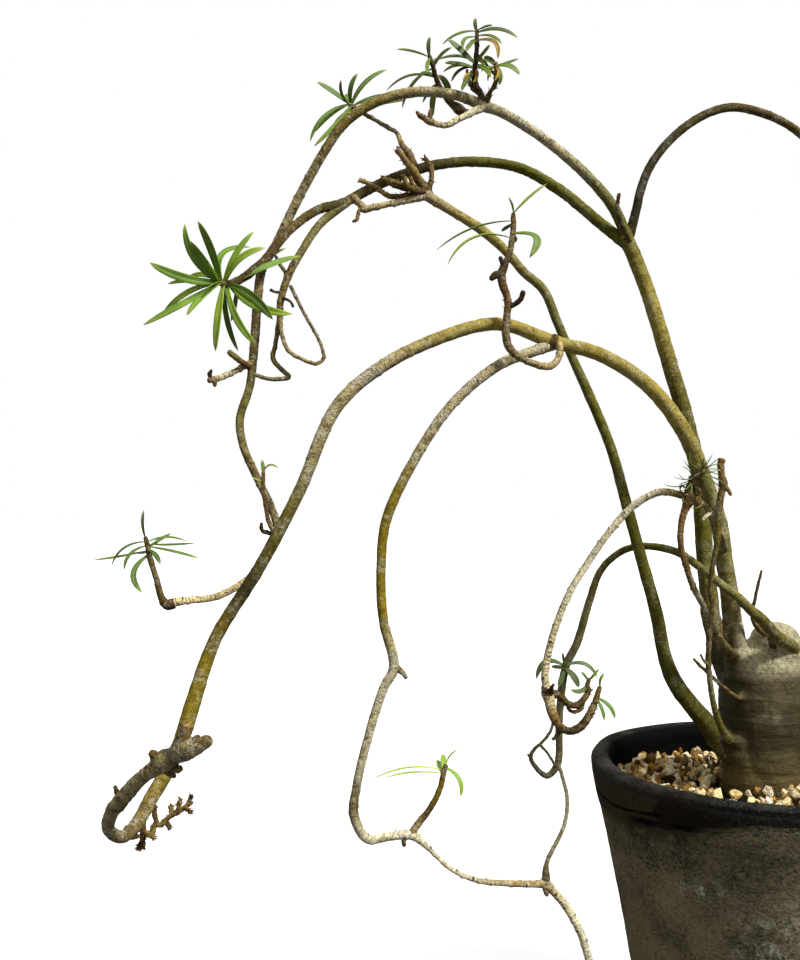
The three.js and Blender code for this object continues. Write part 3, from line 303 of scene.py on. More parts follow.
# %% Small meshes that are put together
def put(bm, target):
    """Adds one small mesh to a larger one, with its UVs and colours."""
    sheet = bpy.data.meshes.new("scrap")
    bm.to_mesh(sheet)
    bm.free()
    target.from_mesh(sheet)
    bpy.data.meshes.remove(sheet)


def fresh():
    """An empty mesh with room for UVs, for the colour of each point and for its pattern amounts."""
    bm = bmesh.new()
    bm.loops.layers.uv.new("grain")
    bm.verts.layers.float_color.new("tone")
    bm.verts.layers.float_color.new("pattern")
    return bm


def layers(bm):
    return bm.verts.layers.float_color["tone"], bm.verts.layers.float_color["pattern"]


def closed(bm):
    """The grid's two edges merged, its open ends filled and its faces turned outwards."""
    bmesh.ops.remove_doubles(bm, verts=bm.verts[:], dist=SAME_SPOT)
    bmesh.ops.holes_fill(bm, edges=[e for e in bm.edges if e.is_boundary], sides=0)
    bmesh.ops.recalc_face_normals(bm, faces=bm.faces[:])
    return bm


print("points closer than", SAME_SPOT, "m are merged")

# %% [markdown]
# ## Leaf scars
# Every leaf that fell left a small raised scar. They could be dents in a bump pattern, but they show in the
# outline of a thin stem, so they raise the mesh. Leaves grow in a spiral, each the golden angle further
# round than the last, and the same places darken the bark in its finish.

# %% Where the scars sit
GOLDEN_ANGLE = math.radians(137.5)
SCAR_REACH = 1.3 * MM


def scar_places(total, radius, draw):
    """Where old leaves sat: each a bit higher than the last and the golden angle further round."""
    places = []
    length = draw.uniform(0.5, 3) * MM
    turn = draw.uniform(0, 6)
    while length < total - 2 * MM:
        places.append((length, turn % (2 * math.pi), draw.uniform(0.5, 1.2)))
        length += draw.uniform(1.4, 3.4) * MM * (0.6 + 0.2 * radius / MM)
        turn += GOLDEN_ANGLE + draw.uniform(-0.4, 0.4)
    return places


def scar_at(places, length, angle, radius):
    """How much of a leaf scar is at a place on a stem, from 0 to 1."""
    most = 0.0
    for at, turn, size in places:
        if abs(at - length) > SCAR_REACH:
            continue
        round_it = abs((angle - turn + math.pi) % (2 * math.pi) - math.pi) * radius
        apart = math.hypot((at - length) * 1.3, round_it * 0.75) / MM
        most = max(most, size * max(0.0, 1 - apart / 1.2))
    return most


print("scars on 100 mm of a stem 4 mm thick:", len(scar_places(100 * MM, 2 * MM, random.Random(1))))

# %% Roll a grid into a stem
SIDES = ((1.2, 12), (2.6, 18), (math.inf, 28))    # up to which radius in mm, how many faces go round
SWELL = 260    # these five are how many times a noise turns over in a metre
SWELL_ALONG = 420
CRUST = 900
FINE_CRUST = 1900
CRUST_TONE = 330
SCAR_RISE = 0.4    # in mm


def roll_stem(target, stations, barks, lumps=0.05, step=0.7, rough=0.0, worn=(1.0, 0.0)):
    """Adds one run. Worn says from which share of the way the bark is crusty, and how deep in mm."""
    route = walk(stations, step * MM)
    widest = max(s[3] for s in stations)
    sides = next(count for limit, count in SIDES if widest < limit)
    draw = random.Random(round(stations[0][0] * 31 + stations[0][2] * 7))
    scars = scar_places(route[-1][2], widest * MM, draw)
    bm = fresh()
    bmesh.ops.create_grid(bm, x_segments=sides, y_segments=len(route) - 1, size=0.5, calc_uvs=True)
    tone, pattern = layers(bm)
    uv = bm.loops.layers.uv["grain"]
    frames = []
    normal = Vector((0.3, 1, 0.2))
    for i, (_, _, length, share) in enumerate(route):
        ahead = route[min(i + 1, len(route) - 1)][0] - route[max(i - 1, 0)][0]
        tangent = ahead.normalized()
        normal = (normal - tangent * normal.dot(tangent)).normalized()
        near = [scar for scar in scars if abs(scar[0] - length) < SCAR_REACH]
        frames.append((normal.copy(), tangent.cross(normal), near, *bark_at(barks, share)))
    rows = [round((v.co.y + 0.5) * (len(route) - 1)) for v in bm.verts]
    for face in bm.faces:
        for loop in face.loops:
            row = rows[loop.vert.index]
            loop[uv].uv = (loop.vert.co.x + 0.5, route[row][2] * 100)
    for v, row in zip(bm.verts, rows):
        place, radius, length, share = route[row]
        normal, side, near, colour, amounts = frames[row]
        crusty = rough + worn[1] * min(1.0, max(0.0, (share - worn[0]) * 12))
        angle = -(v.co.x + 0.5) * 2 * math.pi
        out = normal * math.cos(angle) + side * math.sin(angle)
        spot = place + out * radius
        along = Vector((length * SWELL_ALONG, 3, stations[0][0]))
        swell = noise.noise(spot * SWELL) + 0.6 * noise.noise(along)
        scar = scar_at(near, length, angle, radius)
        crust = noise.noise(spot * CRUST) + 0.5 * noise.noise(spot * FINE_CRUST)
        raised = SCAR_RISE * scar * amounts.z + crusty * crust
        v.co = place + out * (radius * (1 + lumps * swell) + raised * MM)
        v[tone] = colour * max(0.25, 1 + crusty * (1.2 * crust + 0.6 * noise.noise(spot * CRUST_TONE)))
        v[pattern] = (*amounts, scar)
    put(closed(bm), target)


# %% [markdown]
# ## Finishing a piece
# Each finished mesh becomes an object at the origin with its material. Living parts are shaded smooth,
# and only the broken grains stay flat. The piece rides on the frame's one body, and the solid of the frame
# that it stands for is hidden.

# %% Make the object, hang it on the frame's body and hide the solid it stands for
def placed(bm, name):
    """An object at the origin with the finished mesh."""
    mesh = bpy.data.meshes.new(name)
    bm.to_mesh(mesh)
    bm.free()
    made = bpy.data.objects.new(name, mesh)
    bpy.context.scene.collection.objects.link(made)
    return made


def show(bm, name, material, stands_for, smooth=True):
    piece = placed(bm, name)
    mesh = piece.data
    if smooth:
        mesh.shade_smooth()
    else:
        mesh.shade_flat()
    mesh.materials.append(material)
    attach(piece, "root")
    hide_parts(stands_for)
    print(name, len(mesh.polygons), "faces")
    return piece


# %% [markdown]
# ## Bark
# The bark's colour comes from the stem itself, stored on its points, so that one finish serves all stems.
# Over it go soft blotches, cream flecks where the skin has split, short darker rings, and the scar that
# each fallen leaf left. Flecks and rings read the UV map, whose second value is the length along the stem
# in centimetres, so they cross every stem squarely however it bends.

# %% The bark finish
def bark():
    f = Finish("bark")
    tone = f.attribute("tone")
    amounts = f.attribute("pattern", "Vector")
    flecked = f.split(amounts, 0)
    ringed = f.split(amounts, 1)
    scars = f.attribute("pattern", "Alpha") * f.split(amounts, 2)
    uv = f.uv()
    along = f.split(uv, 1)
    broad = f.blotches(130, 3)
    blotch = f.blotches(330, 4, rough=0.6)
    fine = f.blotches(1300, 3)
    wander = f.blotches(240, 3)
    sine = f.node("ShaderNodeMath", {"operation": "SINE"}, {0: along * 34 + wander * 22})
    ring = f.step(sine, 0.6, 0.95) * f.step(f.blotches(420, 2), 0.36, 0.5) * ringed
    crackle = f.blotches(1, 4, f.stretched(uv, (6, 11, 1)), 0.72)
    speckle = f.blotches(750, 3, rough=0.65)
    plates = f.cells(1, f.stretched(uv, (9, 9, 1)), "DISTANCE_TO_EDGE")
    lens = f.cells(1.0, f.stretched(uv, (5, 8, 1)))
    spots = f.step(lens + (fine - 0.5) * 0.3, 0.24, 0.12)
    flecks = spots * f.step(f.blotches(520, 2), 0.44, 0.56) * flecked
    patchy = f.step(blotch * 0.5 + broad, 0.7, 0.84)
    torn = f.step(crackle * 0.6 + speckle * 0.4 + patchy * 0.05, 0.57, 0.6)
    split_skin = torn * (flecked * 1.2) * (patchy * 0.75 + 0.25)
    cracks = f.step(plates + (speckle - 0.5) * 0.1, 0.07, 0.0) * (patchy * 0.7 + 0.3) * flecked
    grooves = f.step(crackle * 0.5 + speckle * 0.5, 0.46, 0.4) * (flecked * 0.8 + 0.12)
    grime = f.step(f.blotches(800, 3), 0.56, 0.7)
    even = f.tinted(tone, 1.1, 1.06, 0.9)
    dark = f.tinted(tone, 0.5, 0.46, 0.38)
    light = f.tinted(tone, 1.6, 1.54, 1.3)
    darker = f.tinted(tone, 0.22, 0.19, 0.14)
    uneven = f.mix(f.step(blotch + broad * 0.5, 0.57, 0.85), dark, light)
    colour = f.mix(flecked * 0.7 + 0.3, even, uneven)
    colour = f.mix(cracks * 0.65, colour, darker)
    colour = f.mix(grooves * 0.7, colour, darker)
    colour = f.mix(split_skin * 0.9, colour, f.over(tone, 0.72, "#efe7cb"))
    colour = f.mix(flecks * 0.8, colour, f.over(tone, 0.8, "#ece4c8"))
    colour = f.mix(grime * 0.35, colour, darker)
    chalk = f.step(patchy * 0.5 + speckle, 0.88, 0.98) * flecked
    colour = f.mix(chalk * 0.6, colour, f.over(tone, 0.6, "#c9c6b8"))
    colour = f.mix(ring * 0.85, colour, f.tinted(tone, 0.22, 0.18, 0.13))
    scar = f.step(scars + (fine - 0.5) * 0.3, 0.42, 0.62)
    colour = f.over(colour, scar * 0.85, "#2a2014")
    raised = fine * 0.3 + blotch * 0.5 + flecks * 0.4 + split_skin * 0.7
    height = raised - ring * 0.8 - grooves * 0.6 - cracks * 0.5
    roughness = 0.58 + f.step(fine, 0.3, 0.7) * 0.25
    return f.finish(colour, roughness, f.relief(height, 0.0008), Specular_IOR_Level=0.15)


BARK = bark()

# %% [markdown]
# ## The stations of the stems
# These are the stems as a maker would measure them: X, Y, Z and radius, in millimetres. A stem's own
# twigs, knots and hooks are further runs that start inside it. Each run says which barks it passes
# through.

# %% Stations and barks
STEMS = {}
print("barks to choose from:", len(BARKS))

# %% [markdown]
# ## The front arch and what it carries
# The longest stem leaves the front of the trunk, arches far out and curls back at its worn end. A thin
# branch hangs from its crown and trails off to the right, and a dry hooked shoot stands on it. The branch
# could be one more twig of the arch. It is a stem of its own because its bark is bleached where the arch
# is olive.

# %% Front arch, trailing branch and hooked shoot
STEMS["front_arch_stem"] = [
    ("ash sage sage straw straw straw straw pebble pebble moss loam mustard mustard ash pebble ash", [
        [-14, -8, 196, 4.3], [-15, -9, 204, 4.1], [-17, -12, 215, 3.9], [-20, -14, 231, 3.6],
        [-23, -16, 247, 3.6], [-31, -18, 268, 3.6], [-38, -20, 284, 3.4], [-54, -23, 304, 3.1],
        [-75, -26, 317, 2.9], [-95, -29, 322, 2.9], [-118, -32, 329, 2.7], [-142, -36, 323, 2.6],
        [-167, -40, 310, 2.6], [-184, -44, 294, 2.6], [-198, -50, 261, 2.4], [-212, -56, 233, 2.4],
        [-229, -64, 204, 2.5], [-236, -72, 181, 3], [-239, -78, 169, 2.9], [-243, -88, 159, 2.7],
        [-246, -96, 153, 2.5], [-249, -104, 147, 2.3], [-252, -110, 145, 2.1], [-255, -115, 149, 2.1],
        [-253, -120, 156, 2.3], [-249, -124, 161, 2.6], [-244, -128, 167, 2.4], [-239, -132, 172, 2.2],
        [-234.5, -134.5, 175.5, 2.7], [-232, -136, 177.5, 3.5], [-229, -137.5, 179.5, 2.6],
        [-225.6, -140, 181.6, 3.5], [-222, -142, 183.4, 3.2], [-219, -143, 184.6, 2.2],
        [-216, -144, 186.4, 1.6],
    ], (0.86, 0.25)),
    ("ash umber tan", [
        [-226, -140, 182.6, 2.8], [-224.8, -141, 187, 2.2], [-224, -142, 191, 1.7],
    ], (0, 0.2)),
    ("ash umber", [[-221, -143, 184.6, 1.8], [-220, -143.6, 187.4, 1.1]], (0, 0.2)),
    ("umber tan", [[-235, -134, 178, 1.8], [-236.4, -135, 180.6, 1.1]], (0, 0.2)),
    ("ash tan", [[-231, -134, 177, 2], [-228, -135, 174.6, 1.3], [-226.6, -135, 175.4, 0.8]]),
    ("chestnut tan", [[-233, -133, 175, 1.8], [-230.4, -133, 172.6, 1.1], [-229, -133, 171.6, 0.7]]),
    ("umber", [[-94, -29, 321, 2], [-96, -30, 322, 3.8], [-98, -31, 323, 2]]),
    ("chestnut", [[-251, -120, 158, 1.4], [-250, -122, 162, 1], [-251, -123, 166, 0.7]]),
    ("beige", [[-235, -132, 174, 2], [-236, -134, 178, 1.3]]),
    ("ash chestnut", [[-251, -107, 147, 1.6], [-250, -104, 143, 1.1], [-248, -103, 143, 0.8]]),
]
STEMS["lower_branch_stem"] = [
    ("pebble bleached pebble pebble pebble mustard mustard mustard mustard bleached bleached bleached "
     "umber cream cream cream beige beige cream cream beige drab umber", [
        [-95, -29, 321, 2.4], [-106, -33, 317, 2.3], [-118, -36, 312, 2.2], [-138, -42, 295, 2],
        [-154, -48, 271, 2], [-164, -52, 249, 2], [-166, -55, 230, 1.9], [-165, -58, 211, 1.9],
        [-161, -60, 193, 2], [-165, -61, 185, 1.8], [-171, -63, 166, 1.7], [-175, -64, 149, 1.7],
        [-176, -65, 138, 1.9], [-171, -65, 129, 1.8], [-162, -65, 130, 1.6], [-154, -64, 130, 1.9],
        [-147, -63, 124, 0.95], [-139, -61, 116, 0.85], [-129, -59, 111, 1], [-116, -57, 109, 1.25],
        [-105, -55, 108, 1.4], [-102, -55, 108, 2.1], [-99, -54.5, 105, 1.6], [-94, -54, 99, 1.6],
        [-88, -54, 88, 1.6], [-85, -55, 78, 1.6], [-82, -57, 64, 1.5], [-77, -61, 51, 1.5],
        [-68, -68, 46, 1.4], [-59, -76, 49, 1.2],
    ]),
    ("pebble ash", [[-161, -60, 193, 1.7], [-158, -60, 191.5, 1.1], [-156, -59, 188.5, 0.8]]),
    ("ash chestnut", [[-155, -64, 130, 1.4], [-157, -65, 129, 1], [-157, -65, 126, 0.8]]),
    ("ash chestnut", [[-102, -55, 108, 1.6], [-102, -56, 105.4, 1.1], [-101.6, -57, 104, 0.8]]),
]
STEMS["hooked_shoot"] = [
    ("beige beige umber russet chestnut", [
        [-93, -31, 321, 1.6], [-94, -36, 315, 1.4], [-98, -39, 311, 1.4], [-106, -42, 312, 1.4],
        [-114, -42, 317, 1.6], [-116, -41, 323, 1.6], [-115, -38, 338, 1.5], [-117, -36, 345, 1.7],
        [-117, -35, 350, 1.8], [-115, -34, 354, 1.3],
    ]),
    ("chestnut", [[-117, -35, 349, 1.4], [-120, -37, 348, 1.7], [-122, -38, 346, 1]]),
    ("chestnut", [[-116, -35, 351, 1], [-118, -36, 356, 0.8]]),
    ("chestnut", [[-115, -38, 335, 1.2], [-112, -40, 336, 1], [-110, -41, 338, 1], [-109, -42, 341, 1]]),
]
print("stems so far:", len(STEMS))

# %% [markdown]
# ## The tall stem and its three arches
# One tall stem forks at its head into three arches. Each arch starts inside the fork, a little below its
# surface, so that no gap opens where they meet. The thin loops at the end of the middle arch are runs of
# their own that start inside it.

# %% Tall stem, upper, middle and right arch
STEMS["tall_stem"] = [
    ("umber olive olive moss straw olive", [
        [-17, 5, 194, 4.6], [-20, 6, 205, 4.2], [-20, 7, 211, 4], [-21, 9, 225, 3.8], [-22, 10, 242, 3.8],
        [-23, 11, 265, 3.8], [-27, 12, 283, 3.6], [-31, 13, 300, 3.6], [-35, 14, 314, 3.6],
        [-44, 16, 346, 3.4], [-52, 18, 369, 3.4], [-55, 19, 376, 3.4], [-56, 19, 378, 2.6],
    ]),
    ("umber chestnut", [[-54, 16, 374, 1.4], [-59, 10, 381, 1.1], [-61, 9, 387, 0.9], [-60, 9, 394, 0.8]]),
]
STEMS["upper_arch_stem"] = [
    ("olive sage bleached bleached pebble mustard drab pebble drab drab sage drab pebble ivory ivory", [
        [-54, 19, 376, 2.7], [-62, 17, 391, 2.5], [-77, 13, 406, 2.3], [-96, 7, 419, 2.2],
        [-114, 2, 428, 2.2], [-122, 0, 430, 2.5], [-132, -3, 433, 2.2], [-146, -6, 434, 2.2],
        [-159, -8, 432, 2.2], [-172, -9, 427, 2.2], [-183, -9, 419, 2.2], [-191, -8, 408, 2],
        [-200, -6, 393, 2], [-207, -4, 380, 2], [-213, -3, 368, 2], [-219, -2, 358, 2], [-221, -3, 344, 2],
        [-222, -4, 328, 2], [-224, -6, 306, 1.8], [-228, -8, 291, 1.8], [-226, -10, 279, 1.7],
        [-220, -12, 266, 1.7], [-214, -14, 254, 1.7], [-211, -16, 244, 1.7], [-215, -18, 232, 1.7],
        [-223, -20, 223, 1.6], [-236, -23, 216, 1.5], [-246, -26, 215, 1.5], [-253, -28, 214, 2],
        [-256, -29, 212, 1],
    ]),
    ("bleached cream ringed tan", [
        [-122, -1, 429, 1.9], [-128, -8, 424, 1.5], [-134, -11, 420, 1.3], [-139, -13, 417, 1.3],
        [-143.5, -14, 417.4, 1.2], [-146, -14, 418.4, 1.7], [-148, -14.6, 419.4, 1.2],
        [-150.5, -15, 420.6, 1.3],
    ]),
    ("tan", [[-145, -14, 418, 1], [-146, -15, 421.4, 0.8], [-145, -15, 423.4, 0.7]]),
    ("tan", [[-150, -15, 420, 1], [-151.6, -15, 422.4, 0.7]]),
    ("umber beige ringed ringed tan", [
        [-222, -5, 316, 1.8], [-226, -7.5, 314.6, 1.7], [-229, -8.5, 312.6, 1.2], [-232, -10, 310.8, 1.2],
        [-235, -11.5, 309.4, 1.4], [-238.6, -13, 308, 1.4], [-241, -14, 307.4, 1.1],
    ]),
    ("chestnut", [[-239, -13, 307.4, 1.3], [-240, -13, 310, 0.9], [-239.4, -13, 312.4, 0.7]]),
    ("tan", [[-238, -13, 307.4, 1.1], [-238, -13, 304.8, 0.7]]),
    ("chestnut gilt", [
        [-224, -7, 314, 1.5], [-227, -11, 316, 1.2], [-229, -12.6, 317.6, 1.4], [-232, -15, 320, 1.2],
    ]),
    ("chestnut", [[-213, -17, 242, 1], [-217, -20, 244, 0.8], [-217, -20, 247, 0.7]]),
]
STEMS["middle_arch_stem"] = [
    ("olive olive olive olive loam bracken bracken umber chestnut", [
        [-55, 20, 374, 2.8], [-66, 28, 386, 2.6], [-83, 36, 403, 2.6], [-101, 42, 415, 2.4],
        [-120, 42, 418, 2.4], [-140, 36, 415, 2.4], [-158, 26, 407, 2.3], [-172, 16, 398, 2.3],
        [-184, 7, 389, 2.2], [-195, 0, 384, 2], [-206, -10, 373, 1.9], [-217, -18, 357, 1.9],
        [-224, -22, 350, 1.9],
    ]),
    ("sage sage drab umber", [
        [-182, 8, 390, 2.1], [-194, 1, 378, 1.8], [-201, -4, 366, 1.7], [-207, -9, 353, 1.7],
        [-210, -12, 341, 1.5], [-210, -13, 333, 1.3],
    ]),
    ("ash ash drab beige ash", [
        [-206, -9, 349, 0.8], [-200, -14, 337, 0.7], [-192, -18, 322, 0.7], [-191, -20, 316, 0.75],
        [-194, -21, 314, 0.75], [-200, -20, 316, 0.75], [-206, -17, 320, 0.85], [-209, -15, 327, 0.9],
        [-210, -13, 335, 1],
    ]),
    ("ash umber ash ash", [
        [-210, -13, 336, 1.2], [-212, -13, 323, 0.9], [-213, -13, 317, 1.1], [-209, -14, 312, 1],
        [-206, -15, 309, 1.1], [-214, -16, 308, 0.9], [-221, -17, 310, 0.8],
    ]),
    ("chestnut", [[-209, -11, 346, 0.8], [-212, -12.4, 345.6, 0.6], [-214.4, -13, 346.6, 0.7]]),
    ("chestnut", [
        [-210, -12, 343, 0.8], [-206.6, -14, 342, 0.55], [-205, -15, 340.6, 0.5], [-204, -15, 338.6, 0.6],
    ]),
    ("ash", [[-209, -10, 347, 0.9], [-208, -8, 354, 0.8], [-211, -6, 359, 0.8], [-213, -5, 363, 0.7]]),
]
STEMS["right_arch_stem"] = [
    ("loam loam bracken umber moss sprout", [
        [-54, 20, 374, 2.4], [-50, 20, 389, 2.1], [-48, 20, 398, 2], [-43, 22, 410, 2], [-33, 25, 423, 2],
        [-18, 29, 435, 2], [-3, 33, 441, 2], [13, 37, 440, 2], [29, 40, 434, 1.9], [43, 40, 421, 1.9],
        [51, 36, 404, 1.8], [56, 30, 384, 1.7], [57, 24, 368, 1.5],
    ]),
]
print("stems so far:", len(STEMS))

# %% [markdown]
# ## The left side stem and its dead head
# This stem rises behind the others from the foot of the trunk. Its head has died into a cluster of short
# twigs with curled leaf bases on them, and one pale live twig grows on past it.

# %% Left side stem and dead twigs
STEMS["left_side_stem"] = [
    ("bracken fern fern olive olive olive olive sage straw beige", [
        [-15, -8, 146, 5], [-20, -9, 151, 4.6], [-27, -10, 161, 4.1], [-33, -10, 168, 3.7],
        [-40, -9, 178, 3.5], [-44, -8, 189, 3], [-47, -7, 206, 2.8], [-52, -5, 226, 2.6],
        [-59, -4, 252, 2.4], [-66, -2, 279, 2.2], [-75, 0, 302, 2.2], [-82, 1, 318, 2], [-89, 2, 335, 2],
        [-95, 2, 349, 2], [-104, 1, 357, 2], [-112, 0, 366, 2], [-123, -2, 375, 2.2], [-135, -4, 382, 2],
        [-147, -6, 389, 2.4], [-149, -6, 391, 1.4],
    ]),
    ("beige ringed beige tan", [
        [-146, -6, 389, 1.9], [-156, -8, 386, 1.4], [-165, -9, 384, 1.3], [-171, -10, 382.4, 1.4],
        [-174, -10, 382, 1.9], [-176, -10, 384, 1.4], [-178, -9.6, 386.4, 1.5], [-180, -9, 388.4, 1],
    ]),
    ("tan", [
        [-175, -10, 383, 1.1], [-176.6, -11, 380, 0.8], [-177, -12, 377, 0.7], [-179, -13, 375.6, 0.7],
    ]),
    ("tan", [[-174, -10, 382, 1.1], [-173, -12, 380.4, 0.7]]),
]
STEMS["dead_twig_cluster"] = [
    ("chestnut gilt gilt", [
        [-146, -5, 389, 2.2], [-148, -6, 392, 2.3], [-151, -8, 396, 1.6], [-153, -9.5, 398.6, 1.9],
        [-156, -11, 402, 1.3], [-160, -13, 407, 1.5],
    ]),
    ("chestnut gilt", [
        [-147, -4, 390, 1.6], [-145, -3, 396, 1.1], [-145, -3, 402, 1.1], [-148, -4, 406, 1.1],
    ]),
    ("chestnut gilt", [[-148, -6, 390, 1.4], [-153, -10, 392, 0.9], [-154, -11, 395, 0.9]]),
    ("chestnut gilt", [[-148, -7, 390, 1.4], [-155, -12, 391, 1.1], [-157, -14, 395, 0.9]]),
    ("chestnut gilt", [
        [-148, -5, 391, 1.4], [-156, -5, 392, 1.1], [-162, -5, 394, 1.1], [-166, -5, 397, 0.9],
    ]),
    ("chestnut gilt", [
        [-150, -6, 390, 1.3], [-155, -8, 392.4, 1], [-160, -9, 393.6, 1], [-163, -9.4, 394.4, 0.9],
    ]),
    ("russet gilt", [
        [-150, -5, 390, 1.2], [-157, -5, 389, 1.1], [-163, -4, 389, 1.1], [-168, -4, 392, 1.1],
        [-173, -4, 395, 1], [-176, -4, 396, 0.9],
    ]),
]
print("stems so far:", len(STEMS))

# %% [markdown]
# ## A bare shoot and a looping stem
# The bare shoot stands upright in front. The looping stem leaves the trunk's far side, comes round to the
# front and goes behind again, so its depth changes most of all: its Y values are what keep it clear of
# the others.

# %% Bare shoot and looping stem
STEMS["bare_front_shoot"] = [
    ("drab moss olive sage umber umber bracken moss umber tan", [
        [-7, -7, 149, 2.8], [-14, -12, 152, 2.1], [-20, -18, 156, 1.7], [-25.6, -25, 164, 1.4],
        [-29.6, -30, 174, 1.2], [-31.4, -32, 183, 1.1], [-32.4, -33, 193, 1.1], [-32, -34, 203, 1],
        [-31, -34, 214, 0.9], [-32, -34, 220, 0.9], [-31, -34, 229, 1], [-29, -34, 240, 1.2],
        [-28, -33, 253, 1.4], [-26.6, -32, 260, 1.4], [-26, -32, 263.4, 1.9], [-26.4, -31.6, 267, 1.4],
        [-26.6, -31, 271, 1.4], [-26, -31, 274, 1.8],
    ]),
    ("tan", [[-26, -32, 263, 1.3], [-24, -33, 260.6, 0.8], [-23.4, -34, 258.6, 0.7]]),
    ("olive", [[-32, -33, 189, 0.8], [-34.6, -34, 191.4, 0.5], [-36, -34.4, 194, 0.45]]),
]
STEMS["looping_stem"] = [
    ("sage moss sage olive olive sage smoke smoke smoke smoke", [
        [12, -4, 188, 3], [10, -12, 193, 2.9], [-1, -22, 200, 2.5], [-10, -30, 208, 2.4],
        [-15, -32, 212, 2.1], [-20, -32, 217, 1.9], [-25, -30, 221, 1.7], [-29, -26, 225, 1.7],
        [-32, -21, 228, 1.7], [-37, -8, 233, 1.7], [-43, 4, 235, 1.7], [-50, 12, 235, 1.6],
        [-57, 20, 232, 1.6], [-65, 26, 223, 1.6], [-70, 30, 207, 1.8], [-75, 33, 188, 1.9],
        [-80, 34, 177, 1.9], [-82, 35, 165, 1.9], [-83, 36, 149, 1.7], [-84, 35, 130, 1.7],
        [-89, 34, 125, 1.4], [-95, 33, 130, 1.1], [-97, 32, 134.4, 1], [-95.4, 32, 138, 0.8],
        [-92, 32, 141, 0.75], [-88, 32, 146, 0.7], [-86, 33, 151, 0.7],
    ]),
    ("smoke", [
        [-93, 31.6, 140.6, 0.7], [-89.6, 31.4, 137, 0.65], [-86.4, 32.4, 132, 0.65], [-85, 34, 129, 0.8],
    ]),
    ("smoke", [[-97, 32, 134, 0.7], [-98.6, 31, 136, 0.5]]),
]
print("stems so far:", len(STEMS))

# %% [markdown]
# ## The brown, pale and wiry shoots
# A starved brown shoot ends in a swollen joint with dry strands round it, and the pale ringed shoot hangs
# from that joint. The strands could be hair, but a few thin curled runs keep their shape in any other
# program.

# %% Brown, pale and wiry shoots
STEMS["brown_shoot"] = [
    ("umber umber drab pebble russet tan chestnut", [
        [-3, -4, 180, 3], [-10, -8, 186, 2.6], [-17, -14, 191, 2.1], [-23, -19, 197, 1.7],
        [-28, -23, 204, 1.5], [-32, -26, 212, 1.3], [-37, -29, 220, 1.3], [-41, -31, 230, 1.3],
        [-43, -31, 238, 1.3], [-43, -31, 246, 1.3], [-41, -30, 253, 1.5], [-39, -29, 257, 2.6],
        [-38.4, -28, 261, 2.1], [-38, -28, 264, 1.6],
    ]),
    ("gilt tan", [
        [-40, -30, 259, 0.5], [-42.2, -31.4, 258.4, 0.35], [-42.2, -32.4, 256, 0.3],
        [-40.4, -32.4, 255, 0.3], [-38.4, -32, 256, 0.3],
    ]),
    ("gilt tan", [
        [-37, -30, 262, 0.5], [-35.4, -31.4, 261, 0.35], [-35.4, -32.4, 258.4, 0.3],
        [-37.4, -32.4, 257.4, 0.3],
    ]),
    ("tan chestnut", [
        [-41, -30, 262, 0.5], [-43, -31, 262.6, 0.35], [-43.4, -31.6, 260.6, 0.3], [-41.6, -32, 258.4, 0.3],
    ]),
    ("gilt gilt", [
        [-36, -30, 258, 0.5], [-34.4, -31.4, 255.6, 0.35], [-36.4, -32, 253.6, 0.3],
        [-38.6, -32, 253.4, 0.3],
    ]),
    ("umber beige beige", [
        [-19, -14, 232, 1.4], [-23, -22, 241, 1.1], [-28, -26, 249, 1.1], [-32, -28, 254, 1.2],
        [-38, -28, 258, 1.4],
    ]),
    ("cream", [
        [-26, -26, 249, 0.9], [-30, -31, 251, 0.8], [-33, -33, 250.4, 0.7], [-35, -33.6, 248.4, 0.6],
    ]),
]
STEMS["pale_shoot"] = [
    ("chestnut beige cream cream cream cream cream cream cream ringed ringed ringed ringed ringed tan "
     "chestnut russet gilt", [
        [-39, -28, 258, 1.5], [-50, -26, 260, 1.5], [-60, -24, 255, 1.5], [-70, -22, 244, 1.5],
        [-79, -21, 231, 1.5], [-87, -21, 218, 1.5], [-93, -22, 204, 1.5], [-97, -23, 190, 1.6],
        [-98, -24, 183, 1.6], [-97.5, -24.4, 179, 1.8], [-97, -25, 176.4, 2.9], [-96.4, -26, 173, 2.2],
        [-95.6, -28, 169, 2.1], [-94, -30, 165, 1.7], [-90, -32, 162, 1.6], [-85, -34, 164, 1.7],
        [-81, -35, 170, 1.6], [-79, -35, 175, 1.2],
    ]),
    ("chestnut umber chestnut gilt", [
        [-96, -25, 176, 2.1], [-92, -24, 175, 1.5], [-88, -22, 171, 1.4], [-84, -20, 170, 1.4],
        [-80, -18, 173, 1.3], [-78, -17, 176, 0.9],
    ]),
    ("chestnut", [[-97, -26, 177, 1.6], [-99, -28, 178, 0.9], [-100, -29, 180, 0.5]]),
    ("chestnut", [[-96, -26, 176, 1.6], [-96, -29, 179, 0.8], [-95, -30, 181, 0.5]]),
    ("chestnut", [[-92, -31, 164, 1.2], [-94, -31, 160, 0.8], [-96, -31, 158, 0.7]]),
    ("tan", [[-81, -18, 173, 1], [-82, -19, 168, 0.8], [-86, -19, 167, 0.7], [-88, -19, 169, 0.7]]),
]
STEMS["wiry_shoot"] = [
    ("chestnut smoke smoke smoke smoke", [
        [-102, -55, 108.4, 1.8], [-101.6, -53, 111, 1.5], [-101, -50, 114, 0.9], [-92, -37, 125, 0.8],
        [-89, -26, 132, 0.8], [-89, -12, 138, 0.8], [-89, -2, 140, 0.8],
    ]),
]
print("stems so far:", len(STEMS))

# %% [markdown]
# ## The dry sprays
# Two dead side shoots hang under the curled end of the front arch. They are short runs with side runs,
# and get their ragged outline from the scales that are added below.

